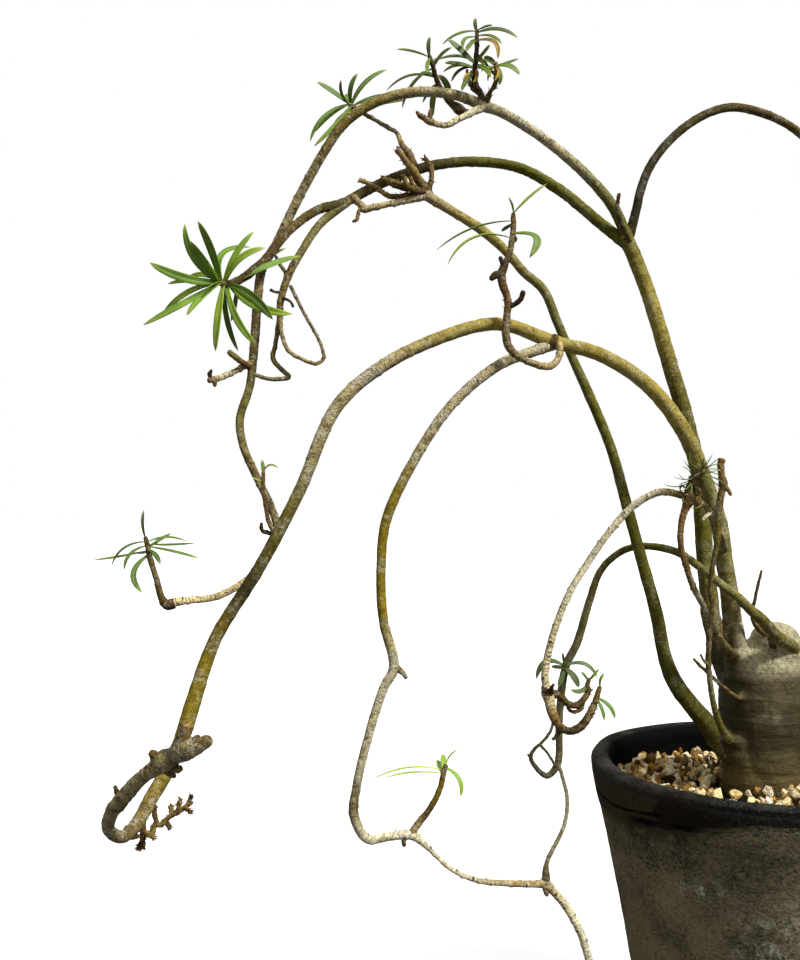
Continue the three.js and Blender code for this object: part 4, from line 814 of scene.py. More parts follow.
# %% Dry sprays
STEMS["dry_spray"] = [
    ("chestnut russet gilt chestnut gilt", [
        [-246, -92, 153, 1.2], [-245.4, -91, 146, 0.8], [-244, -91, 142.6, 0.9], [-241, -90, 145, 0.9],
        [-239, -88, 146, 1], [-236, -86, 147.4, 0.8], [-234, -85, 149, 0.6],
    ]),
    ("gilt", [[-240, -89, 145.6, 0.8], [-240.4, -87, 148, 0.6]]),
    ("gilt", [[-238, -87, 146.6, 0.8], [-237.4, -88, 149.4, 0.7], [-237, -88, 150.6, 0.5]]),
    ("gilt chestnut", [[-235, -85, 148, 0.7], [-233.8, -85, 151, 0.5]]),
    ("russet", [[-236, -86, 147.6, 0.8], [-233.8, -86, 146, 0.6]]),
    ("chestnut", [[-242, -90, 144, 0.9], [-240.6, -90, 141.6, 0.7]]),
]
STEMS["drooping_dry_spray"] = [
    ("chestnut russet chestnut", [
        [-248, -97, 151, 1.3], [-248, -98, 145, 1.2], [-248, -98, 142, 1.1], [-248, -98, 137, 0.8],
    ]),
    ("gilt", [[-248, -98, 143, 1], [-245, -99, 142, 1], [-243.6, -99, 145, 0.8]]),
    ("russet", [[-248, -98, 144, 1], [-250.4, -98, 143, 0.8]]),
    ("gilt", [[-246, -99, 143, 0.9], [-244, -99, 141, 0.7]]),
    ("chestnut", [[-248, -98, 140, 0.9], [-249.6, -98, 137, 0.7]]),
]
print("stems so far:", len(STEMS))
# %% [markdown]
# ## The kinds of bark
# The frame's record has three finishes for wood: living bark, pale bark and dry wood. Most stems have the
# first, so only the others are listed. The list is only counted here, and every stem is shown with the one
# bark finish.

# %% Slots of the stems
SLOTS = {"lower_branch_stem": "pale_bark", "pale_shoot": "pale_bark", "wiry_shoot": "pale_bark"}
DRY = ("hooked_shoot", "brown_shoot", "dead_twig_cluster", "dry_spray", "drooping_dry_spray")
SLOTS |= dict.fromkeys(DRY, "dry_wood")
print("stems:", len(STEMS), "and those with a finish of their own:", len(SLOTS))

# %% [markdown]
# ## Scales on the dry shoots
# Where shoots dried up, the stubs of leaf bases stay on as small papery scales that point up the shoot.
# They make the outline of those shoots ragged, which bump in a material can't do. Each scale is one
# little folded flap, and takes the bark's colour at its place, darker or lighter by chance.

# %% Small scales along a run
SCALE_TONES = (0.3, 0.55, 1.0, 1.5, 2.2)
SCALE_THICK = 0.12 * MM


def add_scales(target, stations, barks, spacing, size, around=3):
    draw = random.Random(3)
    route = walk(stations, spacing * MM)
    for i, (place, radius, _, share) in enumerate(route[1:-1], 1):
        tangent = (route[i + 1][0] - route[i - 1][0]).normalized()
        side = tangent.orthogonal().normalized()
        for _ in range(around):
            out = Matrix.Rotation(draw.uniform(0, 2 * math.pi), 3, tangent) @ side
            across = tangent.cross(out)
            lift = draw.uniform(0.35, 1.0)
            reach = size * draw.uniform(0.5, 1.2) * MM
            bm = fresh()
            bmesh.ops.create_grid(bm, x_segments=2, y_segments=2, size=0.5, calc_uvs=True)
            tone, pattern = layers(bm)
            colour, amounts = bark_at(barks, share)
            colour = colour * draw.choice(SCALE_TONES)
            for v in bm.verts:
                up = v.co.y + 0.5
                width = 0.55 * (1 - 0.7 * up * up)
                spot = place + out * (radius * 0.8 + reach * up * lift) + tangent * reach * up
                v.co = spot + across * v.co.x * 2 * width * MM - out * abs(v.co.x) * 0.3 * MM
                v[tone] = colour
                v[pattern] = (amounts.x, 0, 0, 0)
            bmesh.ops.solidify(bm, geom=bm.faces[:], thickness=SCALE_THICK)
            put(bm, target)


print("a scale is", SCALE_THICK / MM, "mm thick")

# %% Build every bare stem
DRY_CRUST = 0.22
LIVE_CRUST = 0.05
SCALY = {    # spacing and size of the scales and the depth of the crust, in mm
    "dead_twig_cluster": (1.1, 1.1, 0.3),
    "dry_spray": (0.6, 1.1, 0.2),
    "drooping_dry_spray": (0.6, 1.1, 0.2),
}
for name, runs in STEMS.items():
    bm = fresh()
    spacing, size, rough = SCALY.get(name, (0, 0, 0))
    for barks, stations, *worn in runs:
        dry = rough or (DRY_CRUST if barks.endswith(("chestnut", "russet", "tan")) else LIVE_CRUST)
        roll_stem(bm, stations, barks, rough=dry, worn=worn[0] if worn else (1.0, 0.0))
        if spacing:
            add_scales(bm, stations, barks, spacing, size)
    if name == "hooked_shoot":
        add_scales(bm, runs[0][1][4:], "umber russet gilt", 1.6, 1.1, around=2)
    if name == "pale_shoot":
        add_scales(bm, runs[0][1][12:], "chestnut gilt russet", 0.7, 1.3)
        add_scales(bm, runs[1][1], "chestnut russet", 0.8, 1.2)
    show(bm, name + "_bark", BARK, name)

# %% [markdown]
# ## Leaves
# A leaf of this plant is narrow, a little fleshy, folded along its midrib, with a small point, and it
# bows back. A flat card would vanish from the side, so each one is a small grid rolled into a flat tube
# with sharp edges, laid along a curve, pinched at both ends and folded.

# %% One leaf from a grid
LEAF_GRID = 12
LEAF_THICK = 0.8
LEAF_FULL = 1.02
LEAF_RECURVE = 0.09
LEAF_FOOT = 0.42    # the width at the foot, as a share of the full width
LEAF_GAIN = 0.63    # what the width gains up to the middle
POINT_FROM = 0.56    # where the point starts and how long it is, as shares of the leaf
POINT_LONG = 0.44


def pointing(clock, toward):
    """A direction from a clock angle in the picture plane and a lean towards the viewer, in degrees."""
    c = math.radians(clock)
    t = math.radians(toward)
    return Vector((math.cos(t) * math.cos(c), -math.sin(t), math.cos(t) * math.sin(c)))


def lay_leaf(target, root, facing, row, colour, fold=0.35):
    """Adds one leaf. Its row is clock angle, lean, length, bow and width, in degrees and mm."""
    clock, toward, length, bow, width = row
    chord = pointing(clock, toward)
    face = (facing - chord * facing.dot(chord)).normalized()
    tip = root + chord * length * MM
    middle = root + chord * length * MM / 2 + pointing(clock + 90, 0) * 2 * bow * MM
    middle += Vector((0, 2 * LEAF_RECURVE * length * face.y, 0)) * MM
    bm = fresh()
    bmesh.ops.create_grid(bm, x_segments=LEAF_GRID, y_segments=LEAF_GRID, size=0.5, calc_uvs=True)
    tone, pattern = layers(bm)
    for v in bm.verts:
        t = v.co.y + 0.5
        turn = (v.co.x + 0.5) * 2 * math.pi
        x = math.cos(turn)
        spot = root * (1 - t) ** 2 + middle * 2 * t * (1 - t) + tip * t * t
        run = ((middle - root) * (1 - t) + (tip - middle) * t).normalized()
        up = (face - run * face.dot(run)).normalized()
        across = run.cross(up)
        swell = LEAF_FOOT + LEAF_GAIN * math.sin(math.pi / 2 * min(1, t / 0.5))
        point = max(0.0, 1 - (max(0.0, t - POINT_FROM) / POINT_LONG) ** 1.9) ** 0.6
        half = width / 2 * LEAF_FULL * swell * (0.04 + 0.96 * point)
        lift = abs(x) * fold * half + math.sin(turn) * LEAF_THICK / 2 * min(1, half)
        v.co = spot + across * x * half * MM + up * lift * MM
        v[tone] = (*colour[:3], 1)
        v[pattern] = (x, t, 0, 1)
    put(closed(bm), target)


print("faces round and along a leaf:", LEAF_GRID)

# %% [markdown]
# ## Leaf skin
# The upper skin is a waxy green with a paler midrib and faint lengthwise veins, yellower towards the tip.
# The place across and along the leaf was stored on its points, so the midrib stays in the middle of every
# leaf.

# %% The leaf finish
def leaf_skin():
    f = Finish("leaf")
    tone = f.attribute("tone")
    where = f.attribute("pattern", "Vector")
    across = f.split(where, 0)
    along = f.split(where, 1)
    from_rib = f.node("ShaderNodeMath", {"operation": "ABSOLUTE"}, {0: across})
    rib = f.step(from_rib, 0.16, 0.02) * f.step(along, 1.0, 0.75)
    blotch = f.blotches(240, 4)
    streak = f.blotches(4, 4, f.stretched(where, (5, 0.6, 1)))
    broad = f.blotches(55, 2)
    darker = f.tinted(tone, 0.6, 0.68, 0.5)
    lighter = f.tinted(tone, 1.3, 1.22, 1.0)
    colour = f.mix(f.step(broad + (streak - 0.5) * 0.8, 0.36, 0.64), darker, lighter)
    colour = f.mix(f.step(from_rib, 0.62, 0.16) * 0.3, colour, f.over(tone, 0.5, "#a9b95c"))
    colour = f.mix(f.step(along, 0.78, 1.0) * 0.6, colour, f.over(tone, 0.6, "#c3c95e"))
    colour = f.mix(rib * 0.4, colour, f.over(tone, 0.5, "#c3cf80"))
    # Painted light: the edges are paler, as if lit through the thin leaf.
    colour = f.mix(f.step(from_rib, 0.78, 0.97) * 0.5, colour, f.over(tone, 0.5, "#a9bb4c"))
    colour = f.over(colour, f.step(along, 0.16, 0.02) * 0.4, "#8f9a58")
    height = blotch * 0.3 + streak * 0.25 - rib * 0.6
    skin = {"Subsurface_Weight": 0.05, "Subsurface_Scale": 0.001, "Subsurface_Radius": (0.5, 1.0, 0.15)}
    relief = f.relief(height, 0.0003, 0.7)
    return f.finish(colour, 0.42 + streak * 0.2, relief, Specular_IOR_Level=0.35, **skin)


LEAF = leaf_skin()

# %% [markdown]
# ## The leafy shoots
# Each tuft has its own bit of shoot, the way its upper faces look, its greens, and its leaves. The leaves
# could be scattered by a spiral rule, but in a tuft of ten leaves each one shows, so each has a row: how
# far up the shoot it grows, its clock angle in the picture, its lean to the viewer, its length, its bow
# and its width.

# %% Table of the tufts
LEAFY = {}
print("degrees from one leaf to the next round a shoot:", round(math.degrees(GOLDEN_ANGLE), 1))

# %% [markdown]
# ## The large rosette
# The brightest and fullest tuft is near the viewer, so each of its leaves has a row of its own. Leaves
# that lean away are in the rows too, because a tuft is looked at from all sides.

# %% Large rosette
LEAFY["big_rosette"] = {
    "facing": (-0.4, -0.85, 0.1),
    "greens": "#3c5a0c #5e8413 #8aa42d",
    "barks": "chestnut bracken olive",
    "wood": [
        [[-223, -21, 351, 1.8], [-227, -24, 348, 1.8], [-230, -28, 346, 1.7], [-233, -33, 346, 1.2]],
    ],
    "leaves": [
        (0.85, 166, 15, 30, 2.5, 3.4), (0.9, 211, 10, 36, 1, 3), (0.95, 207, -15, 30, -2.5, 2.6),
        (0.9, 236, 40, 25, -0.5, 3.4), (0.95, 120, 10, 27, 3.5, 3), (0.9, 125, 30, 21, 0, 3),
        (0.9, 109, 15, 26, -1.5, 3.4), (0.85, 57, -20, 21, 7, 3), (0.8, 60, 0, 25, 1, 3),
        (0.75, 38, 15, 23, 3, 3), (0.3, 44, -35, 31, 0.5, 2.6), (0.3, 28, -25, 31, 0.5, 3),
        (0.65, 321, 20, 27, 2, 3.8), (0.6, 334, 8, 30, -3.5, 3.4), (0.65, 297, 20, 32, -2.5, 3),
        (0.75, 280, -10, 28, -1.5, 2.6), (0.8, 265, 10, 29, 0, 3.4), (0.9, 167, -20, 16, -2, 2),
        (0.9, 176, -25, 27, -1, 2), (1, 110, 62, 13, 0, 2.2), (1, 240, 66, 13, 0, 2.2),
        (0.3, 250, -45, 22, 1, 2.6),
    ],
}
print("tufts so far:", len(LEAFY))

# %% [markdown]
# ## The tufts at the top
# Three tufts stand on the upper arch. Their greens are dark, and the middle one keeps some dead ochre
# leaves. A first number above 1 says that a leaf grows on that one of the tuft's bits of wood.

# %% Star, top and rear tuft
LEAFY["star_shoot"] = {
    "facing": (-0.3, -0.85, 0.45),
    "greens": "#33500f #4f7016 #708a24",
    "barks": "tan chestnut tan beige drab umber umber",
    "wood": [
        [
            [-148, -4, 391, 1.9], [-151, -3, 397, 1.8], [-153, -2, 404, 1.9], [-155, -1, 409, 1.6],
            [-158, -1, 413, 1.1], [-160, 0, 418, 0.9], [-165, 0, 421, 0.9], [-171, 1, 425, 0.9],
            [-176, 2, 428, 1], [-180, 3, 431, 1.2], [-182, 2, 432, 0.9],
        ],
    ],
    "leaves": [
        (1, 151, 20, 17, 0, 2.4), (1, 114, 55, 13, 1.5, 1.8), (0.96, 77, 10, 14, 1.5, 2.4),
        (0.96, 48, -10, 24, 2, 2.8), (0.95, 21, -15, 21, 0.5, 2.4), (0.93, 14, -15, 24, -0.5, 2.4),
        (1, 228, 15, 26, -3, 2.2), (0.98, 219, 0, 20, -1, 2.8), (0.96, 235, 25, 30, 1.5, 2.8),
        (0.95, 110, -50, 17, 0, 2.4), (0.93, 190, -55, 18, 0, 2.4),
    ],
    "scaly": 5,
}
LEAFY["top_shoot"] = {
    "facing": (-0.2, -0.8, 0.6),
    "greens": "#2a3c0b #405810 #5e761a",
    "barks": "umber chestnut chestnut umber",
    "wood": [
        [
            [-122, 0, 430, 1.7], [-123, -2, 434, 1.3], [-125.6, -4, 438, 1.3], [-126, -4, 443, 1.2],
            [-125.4, -4, 449, 1], [-125, -4, 455, 1], [-125, -4, 462, 0.8],
        ],
        [
            [-121, 0, 430, 1.6], [-122.6, 1, 435, 1.1], [-126, 2, 438, 0.9], [-128.4, 2, 443, 0.8],
            [-129, 2, 447, 0.6],
        ],
        [
            [-121, 0, 430, 1.6], [-119, -3, 435, 0.9], [-117, -6, 438, 0.9], [-117, -8, 442, 1],
            [-117, -9, 446, 0.8],
        ],
    ],
    "run_barks": {1: "tan gilt gilt", 2: "chestnut gilt gilt"},
    "leaves": [
        (0.97, 95, 0, 6, 0.5, 1.6), (1, 335, 60, 13, 0.5, 1.6), (0.95, 351, 5, 18, 2, 2.4),
        (0.91, 325, 35, 15, 1.5, 1.6), (0.97, 197, -10, 16, -1.5, 1.6), (0.9, 237, 45, 18, -2.5, 1.8),
        (0.86, 243, 50, 19, -0.5, 2.4), (0.55, 143, 15, 16, 0.5, 3.2), (0.58, 173, -10, 17, -1.5, 1.8),
        (0.5, 181, 25, 15, 0, 3.2), (0.51, 215, 10, 13, -2, 1.8), (0.48, 186, 3, 14, -2, 2),
        (0.44, 240, 30, 14, -0.5, 2.4), (0.58, 40, 40, 10, -0.5, 2.8), (0.59, 309, 60, 14, 0.5, 1.8),
        (0.54, 304, 40, 14, 1, 2.4), (0.5, 14, -25, 12, -0.5, 1.8), (0.8, 100, -60, 16, 0, 2.4),
        (0.7, 330, -50, 17, 0, 2.4), (2, 336, 10, 11, 1.5, 2.8), (2, 22, -10, 11, -0.5, 1.6),
        (2, 278, 10, 9, 1, 2), (2, 125, -35, 10, 0, 2.6),
    ],
    "dead": [
        (0.85, 311, 20, 14, 4, 2), (2, 262, 20, 8, 1.5, 1.4), (2, 240, -20, 7, -1, 1.2),
        (0.5, 262, 25, 9, 1.5, 1.4), (0.45, 235, 20, 9, -1.5, 1.4), (0.6, 288, 30, 8, 2, 1.3),
    ],
    "scaly": 4,
}
LEAFY["behind_shoot"] = {
    "facing": (-0.2, -0.75, 0.6),
    "greens": "#2c440b #466012 #627c20",
    "barks": "chestnut umber chestnut",
    "wood": [
        [
            [-129, -8, 424, 1.5], [-132, -4, 426, 1.9], [-135, 2, 431, 1.6], [-138, 6, 436, 1.3],
            [-141, 6, 441, 1.1], [-143, 4, 445, 1.1], [-144, 2, 448, 1], [-146, 1, 453, 0.9],
        ],
    ],
    "leaves": [
        (0.97, 89, 0, 9, 0.5, 1.8), (0.97, 186, 40, 19, -0.5, 2), (0.96, 263, 45, 16, -0.5, 1.8),
        (0.85, 230, -10, 22, -2.5, 2), (0.74, 193, -5, 23, -3.5, 1.6), (0.85, 46, 10, 12, 1, 2),
        (0.68, 260, -12, 14, -1, 2.8), (0.69, 227, -25, 11, -0.5, 2), (0.42, 324, -6, 10, 1, 2),
        (0.44, 116, 15, 12, -1.5, 2.8), (0.9, 60, -55, 16, 0, 2.4), (0.75, 130, -55, 18, 0, 2.4),
    ],
    "scaly": 5,
}
print("tufts so far:", len(LEAFY))

# %% [markdown]
# ## The sparse shoots
# Three shoots carry only a few thin leaves each, which bow under their own weight.

# %% Low left, hooked and lower branch shoot
LEAFY["low_left_shoot"] = {
    "facing": (0, -0.55, 0.8),
    "greens": "#2c4414 #41601c #587824",
    "barks": "chestnut umber drab umber bracken",
    "wood": [
        [
            [-252, -28, 214, 2.2], [-255, -28.6, 213.4, 2.3], [-257, -29, 216, 1.5], [-259, -31, 225, 1.2],
            [-261, -32, 232, 1.2], [-262, -33, 238, 1.1], [-263, -33, 242, 0.9],
        ],
    ],
    "leaves": [
        (0.82, 190, -5, 24, 0.5, 1.4), (0.93, 216, 10, 17, -3, 1.4), (0.88, 231, 30, 14, -2.5, 1.7),
        (0.77, 267, 30, 17, -4.5, 2.4), (0.83, 325, 50, 14, 1, 2), (0.87, 347, 0, 22, 0.5, 1.6),
        (0.9, 1, -10, 20, -0.5, 1.4), (0.92, 359, -25, 17, 2, 1.4), (0.97, 91, 10, 12, 0.6, 1.2),
        (0.85, 40, -60, 17, 0, 2), (0.8, 190, -60, 19, 0, 2),
    ],
}
LEAFY["hooked_shoot_leaves"] = {
    "facing": (0, -0.3, 0.95),
    "greens": "#3f5a14 #607c1e #84992a",
    "barks": "chestnut ash umber",
    "wood": [
        [
            [-116, -34, 353, 1.3], [-114, -33, 357, 1.2], [-113, -32, 361, 1.3], [-112, -31, 369, 1.2],
            [-112, -31, 375, 0.9],
        ],
    ],
    "leaves": [
        (0.85, 201, 0, 34, -3, 1.6), (0.53, 204, 12, 30, -6, 1.8), (0.98, 43, -10, 20, 0.5, 1.8),
        (0.62, 296, 35, 16, 6.5, 3.2), (1, 110, 20, 7, -0.5, 1.6), (0.8, 160, -80, 18, 0, 2.4),
        (0.6, 15, -80, 18, 0, 2.4),
    ],
}
LEAFY["lower_branch_shoot"] = {
    "facing": (0, -0.2, 0.97),
    "greens": "#668a26 #8aaa38 #b0c850",
    "barks": "beige umber mustard umber",
    "wood": [
        [
            [-154, -64, 131, 1.5], [-152, -64, 134, 1.4], [-148, -64, 139, 1.2], [-145, -64, 144, 1.1],
            [-143, -64, 149, 1.1], [-142, -64, 154, 1.1], [-141, -64, 157, 0.9],
        ],
    ],
    "leaves": [
        (0.92, 188, 0, 28, -3, 1.1), (0.87, 177, 25, 25, -1.5, 1.2), (0.95, 300, 20, 12, 2.5, 2.1),
        (1, 57, 20, 9, 1, 1.2), (0.9, 80, -82, 17, 0, 2.2), (0.86, 140, -82, 16, 0, 2.2),
    ],
}
print("tufts so far:", len(LEAFY))

# %% [markdown]
# ## The small tufts
# These are new leaves at the joint, at the ends of the pale shoot, on the loop and on the side of an
# arch. They are short and narrow, so the rows hold small numbers.

# %% Small tufts
LEAFY["joint_tuft"] = {
    "facing": (0, -0.5, 0.85),
    "greens": "#364a10 #50681a #6c8426",
    "barks": "chestnut tan",
    "wood": [
        [[-38, -29, 263, 1.6], [-38, -30, 266, 1.3], [-35, -31, 267, 1.1], [-33, -31, 270, 0.9]],
    ],
    "leaves": [
        (0.2, 186, 10, 13, 2, 0.7), (0.2, 215, 40, 10, 1, 0.7), (0.4, 106, 20, 11, 0.5, 0.65),
        (0.5, 335, 20, 14, 2, 0.7), (0.6, 318, 40, 11, 1, 0.65), (0.8, 25, 15, 8, 1, 0.65),
        (0.9, 70, 30, 8, 0, 0.65), (0.9, 150, 20, 10, 1, 0.65), (0.1, 250, 45, 7, 0, 0.65),
        (0.3, 140, 35, 9, -1, 0.7), (0.7, 10, 45, 9, 1.5, 0.7), (0.4, 125, 10, 9, 0, 0.65),
        (0.5, 60, 10, 8, 0, 0.65), (0.4, 170, 35, 10, 2, 0.7), (0.6, 350, 5, 10, 2, 0.65),
        (0.8, 100, 45, 8, 0.5, 0.65), (0.3, 176, 20, 9, 1, 0.6), (0.5, 345, 30, 9, 1, 0.6),
        (0.9, 120, 30, 9, 0, 0.6), (0.9, 45, 35, 9, 0, 0.6), (0.2, 196, 30, 8, 0, 0.6),
        (0.7, 330, 5, 9, -1, 0.6), (0.6, 80, 50, 9, 0, 0.6), (0.8, 5, 20, 7, 0, 0.6),
    ],
    "scaly": 4,
}
LEAFY["pale_shoot_tip_leaves"] = {
    "facing": (0.3, -0.6, 0.7),
    "greens": "#3a5c1c #527820 #7a9c2c",
    "barks": "gilt umber",
    "wood": [
        [[-79, -35, 174, 1.3], [-78, -35, 178, 1.1], [-77, -35, 181, 0.9]],
    ],
    "leaves": [
        (1, 74, 10, 6, 1, 1.2), (0.25, 288, 15, 9, 0.5, 1.8), (0.3, 311, 10, 11, 1.5, 2.2),
        (0.3, 300, -70, 10, 0, 2),
    ],
}
LEAFY["pale_shoot_inner_leaves"] = {
    "facing": (0, -0.8, 0.6),
    "greens": "#344c1c #4a6a1f #6a8c28",
    "barks": "chestnut tan",
    "wood": [
        [[-79, -17.5, 174, 1.2], [-79, -17, 178, 1], [-78, -17, 181, 0.8]],
    ],
    "leaves": [
        (0.6, 195, 10, 8, 2, 2), (0.8, 52, 10, 7, 0, 1.2), (0.8, 130, 30, 7, 0, 1.4),
        (0.4, 330, -75, 9, 0, 2),
    ],
}
LEAFY["loop_leaves"] = {
    "facing": (0, -0.7, 0.7),
    "greens": "#43583a #586e48 #6c8058",
    "barks": "smoke olive",
    "wood": [
        [[-82, 34, 170, 1.4], [-81.5, 31, 175, 1.3], [-81, 30, 180, 1.1]],
    ],
    "leaves": [
        (0.7, 105, 38, 11, 0, 2), (0.76, 202, 10, 15, -5.5, 2.8), (0.78, 341, 5, 16, 4, 2.2),
        (0.7, 305, 20, 11, 1, 3.2), (0.7, 165, 50, 12, 0, 2.6), (0.6, 240, 45, 11, 0, 2.4),
    ],
}
LEAFY["arch_side_shoot"] = {
    "facing": (0.2, -0.4, 0.9),
    "greens": "#6f7f35 #8fa045",
    "barks": "beige tan tan",
    "wood": [
        [
            [-212, -17, 242, 1.1], [-214, -21, 248, 0.9], [-215, -22, 254, 0.9], [-216, -22, 261, 0.8],
            [-216, -22, 269, 0.8],
        ],
    ],
    "leaves": [
        (0.95, 95, 10, 6, 0, 2), (0.95, 20, 10, 7, 2.5, 1.3), (0.85, 160, 20, 5, 0.5, 1.3),
    ],
}
print("tufts so far:", len(LEAFY))

# %% [markdown]
# ## The two end tufts
# The right arch and the trailing branch end in a tuft like the others, made by the same rows.

# %% End tufts
LEAFY["right_arch_leaves"] = {
    "facing": (0.2, -0.35, -0.9),
    "greens": "#3d5f20 #5d8229 #7a9c35",
    "barks": "olive sprout",
    "wood": [
        [[57, 25, 370, 1.6], [57, 22, 362, 1.4], [56, 19, 355, 1]],
    ],
    "leaves": [
        (0.2, 200, 10, 27, 3, 3), (0.3, 335, 15, 26, -3, 3), (0.4, 262, 60, 24, 0, 3),
        (0.5, 120, 35, 22, 2, 3), (0.6, 30, 40, 24, -2, 3), (0.4, 70, -30, 22, 0, 3),
        (0.6, 215, -45, 26, 2, 3), (0.7, 310, -40, 25, -2, 3), (0.9, 290, 15, 22, 1, 2.8),
        (0.9, 245, 20, 22, -1, 2.8), (1, 268, -15, 18, 0, 2.4),
    ],
}
LEAFY["trailing_tip_leaves"] = {
    "facing": (0.6, -0.6, 0.5),
    "greens": "#47701f #6a9430 #86aa40",
    "barks": "drab olive",
    "wood": [
        [[-61, -75, 48, 1.3], [-56, -80, 51, 1.2], [-53, -84, 55, 0.9]],
    ],
    "leaves": [
        (0.3, 150, 20, 20, 2, 2.6), (0.4, 350, 10, 22, 2, 2.6), (0.5, 75, 15, 20, 1, 2.6),
        (0.6, 300, 45, 19, 0, 2.6), (0.7, 200, 50, 19, 0, 2.6), (0.9, 35, 50, 18, 0, 2.4),
        (1, 110, 55, 15, 0, 2.2),
    ],
}
print("tufts so far:", len(LEAFY))
print("leaves:", sum(len(tuft["leaves"]) for tuft in LEAFY.values()))

# %% Build every tuft
GREEN = random.Random(11)
DEAD_LEAF = "#a8802c"


def root_of(wood, up):
    """Where a leaf grows: a share of the way up the first bit of wood, or near the end of another."""
    run = wood[up] if up > 1 else wood[0]
    share = 0.9 if up > 1 else min(up, 0.98)
    return min(walk(run, 0.2 * MM), key=lambda spot: abs(spot[3] - share))[0]


for name, tuft in LEAFY.items():
    wood = fresh()
    for number, stations in enumerate(tuft["wood"]):
        barks = tuft.get("run_barks", {}).get(number, tuft["barks"])
        roll_stem(wood, stations, barks, 0.08, 0.7, 0.2 if tuft.get("scaly") else 0.08)
        if tuft.get("scaly"):
            add_scales(wood, stations[:tuft["scaly"]], "gilt chestnut gilt", 0.9, 1.2)
    show(wood, name + "_shoot", BARK, name)
    blades = fresh()
    facing = Vector(tuft["facing"]).normalized()
    shades = painted(tuft["greens"])
    for up, *row in tuft["leaves"]:
        picked = GREEN.random() * (len(shades) - 1)
        colour = shades[int(picked)].lerp(shades[min(int(picked) + 1, len(shades) - 1)], picked % 1)
        lay_leaf(blades, root_of(tuft["wood"], up), facing, row, colour)
    for up, *row in tuft.get("dead", []):
        lay_leaf(blades, root_of(tuft["wood"], up), facing, row, Vector(paint(DEAD_LEAF)), 0.6)
    show(blades, name + "_blades", LEAF, name)

# %% [markdown]
# ## The trunk
# The trunk is swollen, with the stumps and bases of its stems flowing out of it. Separate tubes would
# meet in hard creases, so they are melted together: a voxel remesh wraps one skin round them all, and a
# few rounds of smoothing round the joins. Then shallow wrinkles run round it, as on any thick succulent
# skin.

# %% Stations of the trunk
TRUNK = [
    [
        [2, 0, 98, 8], [2, 0, 116, 13], [1, 0, 130, 15.4], [1, 0, 145, 17.8], [1, 0, 160, 18.9],
        [1, 0, 175, 18.2], [0, -1, 186, 16.5], [-1, -1, 195, 13],
    ],
    [
        [-5, -2, 176, 11], [-10, -5, 184, 7.6], [-12.5, -7, 191, 5.6], [-14, -9, 200, 4.3],
        [-15, -10, 207, 2.8],
    ],
    [[-6, 2, 176, 11], [-13, 4, 185, 7], [-17, 4.5, 192, 5.2], [-18.5, 5, 198, 4.5], [-19.5, 6, 204, 3]],
    [[3, -2, 178, 12], [5, -4, 191, 11], [5, -5, 199, 10.4], [5, -5, 203, 7.5]],
    [
        [0, -1, 118, 13], [-3, -2, 130, 14], [-7, -4, 140, 11.5], [-12, -6.5, 147, 8.4],
        [-18, -8.5, 151.5, 5.8], [-25, -10, 158, 4.2],
    ],
    [[-5, -5, 146, 8], [-11, -10, 150.6, 4.6], [-15.5, -14, 153, 2.8], [-19, -17, 155.4, 1.6]],
    [[-4, -4, 180, 8], [-8.5, -7.4, 185.4, 5], [-13, -11, 188.8, 3.2], [-16, -13.4, 190.6, 1.8]],
    [[-5, -5, 168, 6], [-10.5, -10.5, 171, 3.4], [-14, -14, 172.4, 1.2]],
    [[6, 0, 178, 9], [13, -5, 188, 5], [14, -8, 192, 3.4]],
    [[-4, -2, 112, 5.5], [-14, -6, 102, 4.8], [-32, -12, 88, 3]],
    [[6, -4, 112, 5.5], [16, -12, 100, 4.6], [28, -24, 84, 3]],
    [[3, 6, 112, 5.5], [7, 18, 100, 4.8], [10, 34, 84, 3]],
]
TRUNK_TWIGS = [
    ("umber umber drab umber", [
        [-8, -8, 170, 1.4], [-16, -16, 173, 0.9], [-21, -15, 177, 0.8], [-25, -11, 181, 0.8],
        [-28, -8, 184, 0.7], [-31, -6, 187.4, 0.6],
    ]),
    ("umber umber", [[2, -9, 196, 1.6], [-8, -15, 205, 0.8], [-8, -19, 217, 0.65], [-6, -20, 227, 0.55]]),
    ("umber umber", [[6, -10, 190, 1.6], [0, -15, 195, 1.2], [-2, -17, 199, 0.9]]),
]


print("stems and roots that flow together:", len(TRUNK))

# %% Melt them into one skin
MELT_VOXEL = 0.75 * MM
SMOOTHING_ROUNDS = 9


def settle(piece):
    """The piece's mesh with its modifiers worked in, so that none is left on it."""
    depsgraph = bpy.context.evaluated_depsgraph_get()
    worked = bpy.data.meshes.new_from_object(piece.evaluated_get(depsgraph))
    piece.modifiers.clear()
    piece.data = worked
    return worked


def melted_trunk():
    bm = bmesh.new()
    for stations in TRUNK:
        part = fresh()
        roll_stem(part, stations, "olive", 0.02, 2.0)
        put(part, bm)
    lump = placed(bm, "melt")
    remesh = lump.modifiers.new("melt", "REMESH")
    remesh.mode = "VOXEL"
    remesh.voxel_size = MELT_VOXEL
    melted = bmesh.new()
    melted.from_mesh(settle(lump))
    bpy.data.objects.remove(lump)
    return melted


# %% Wrinkle it
def wrinkle(co):
    """How far the skin stands out at a place on the trunk, in metres."""
    round_it = noise.noise(Vector((co.x * 28, co.y * 28, co.z * 230)))
    finer = noise.noise(Vector((co.x * 90, co.y * 90, co.z * 620)))
    lump = noise.noise(co * 60)
    return (0.45 * round_it + 0.16 * finer + 0.7 * lump) * MM


trunk = melted_trunk()
all_ways = {"use_axis_x": True, "use_axis_y": True, "use_axis_z": True}
for _ in range(SMOOTHING_ROUNDS):
    bmesh.ops.smooth_vert(trunk, verts=trunk.verts[:], factor=0.5, **all_ways)
trunk.normal_update()
moves = [(v, v.normal.copy() * wrinkle(v.co)) for v in trunk.verts]
for v, move in moves:
    v.co += move
print("trunk faces:", len(trunk.faces))
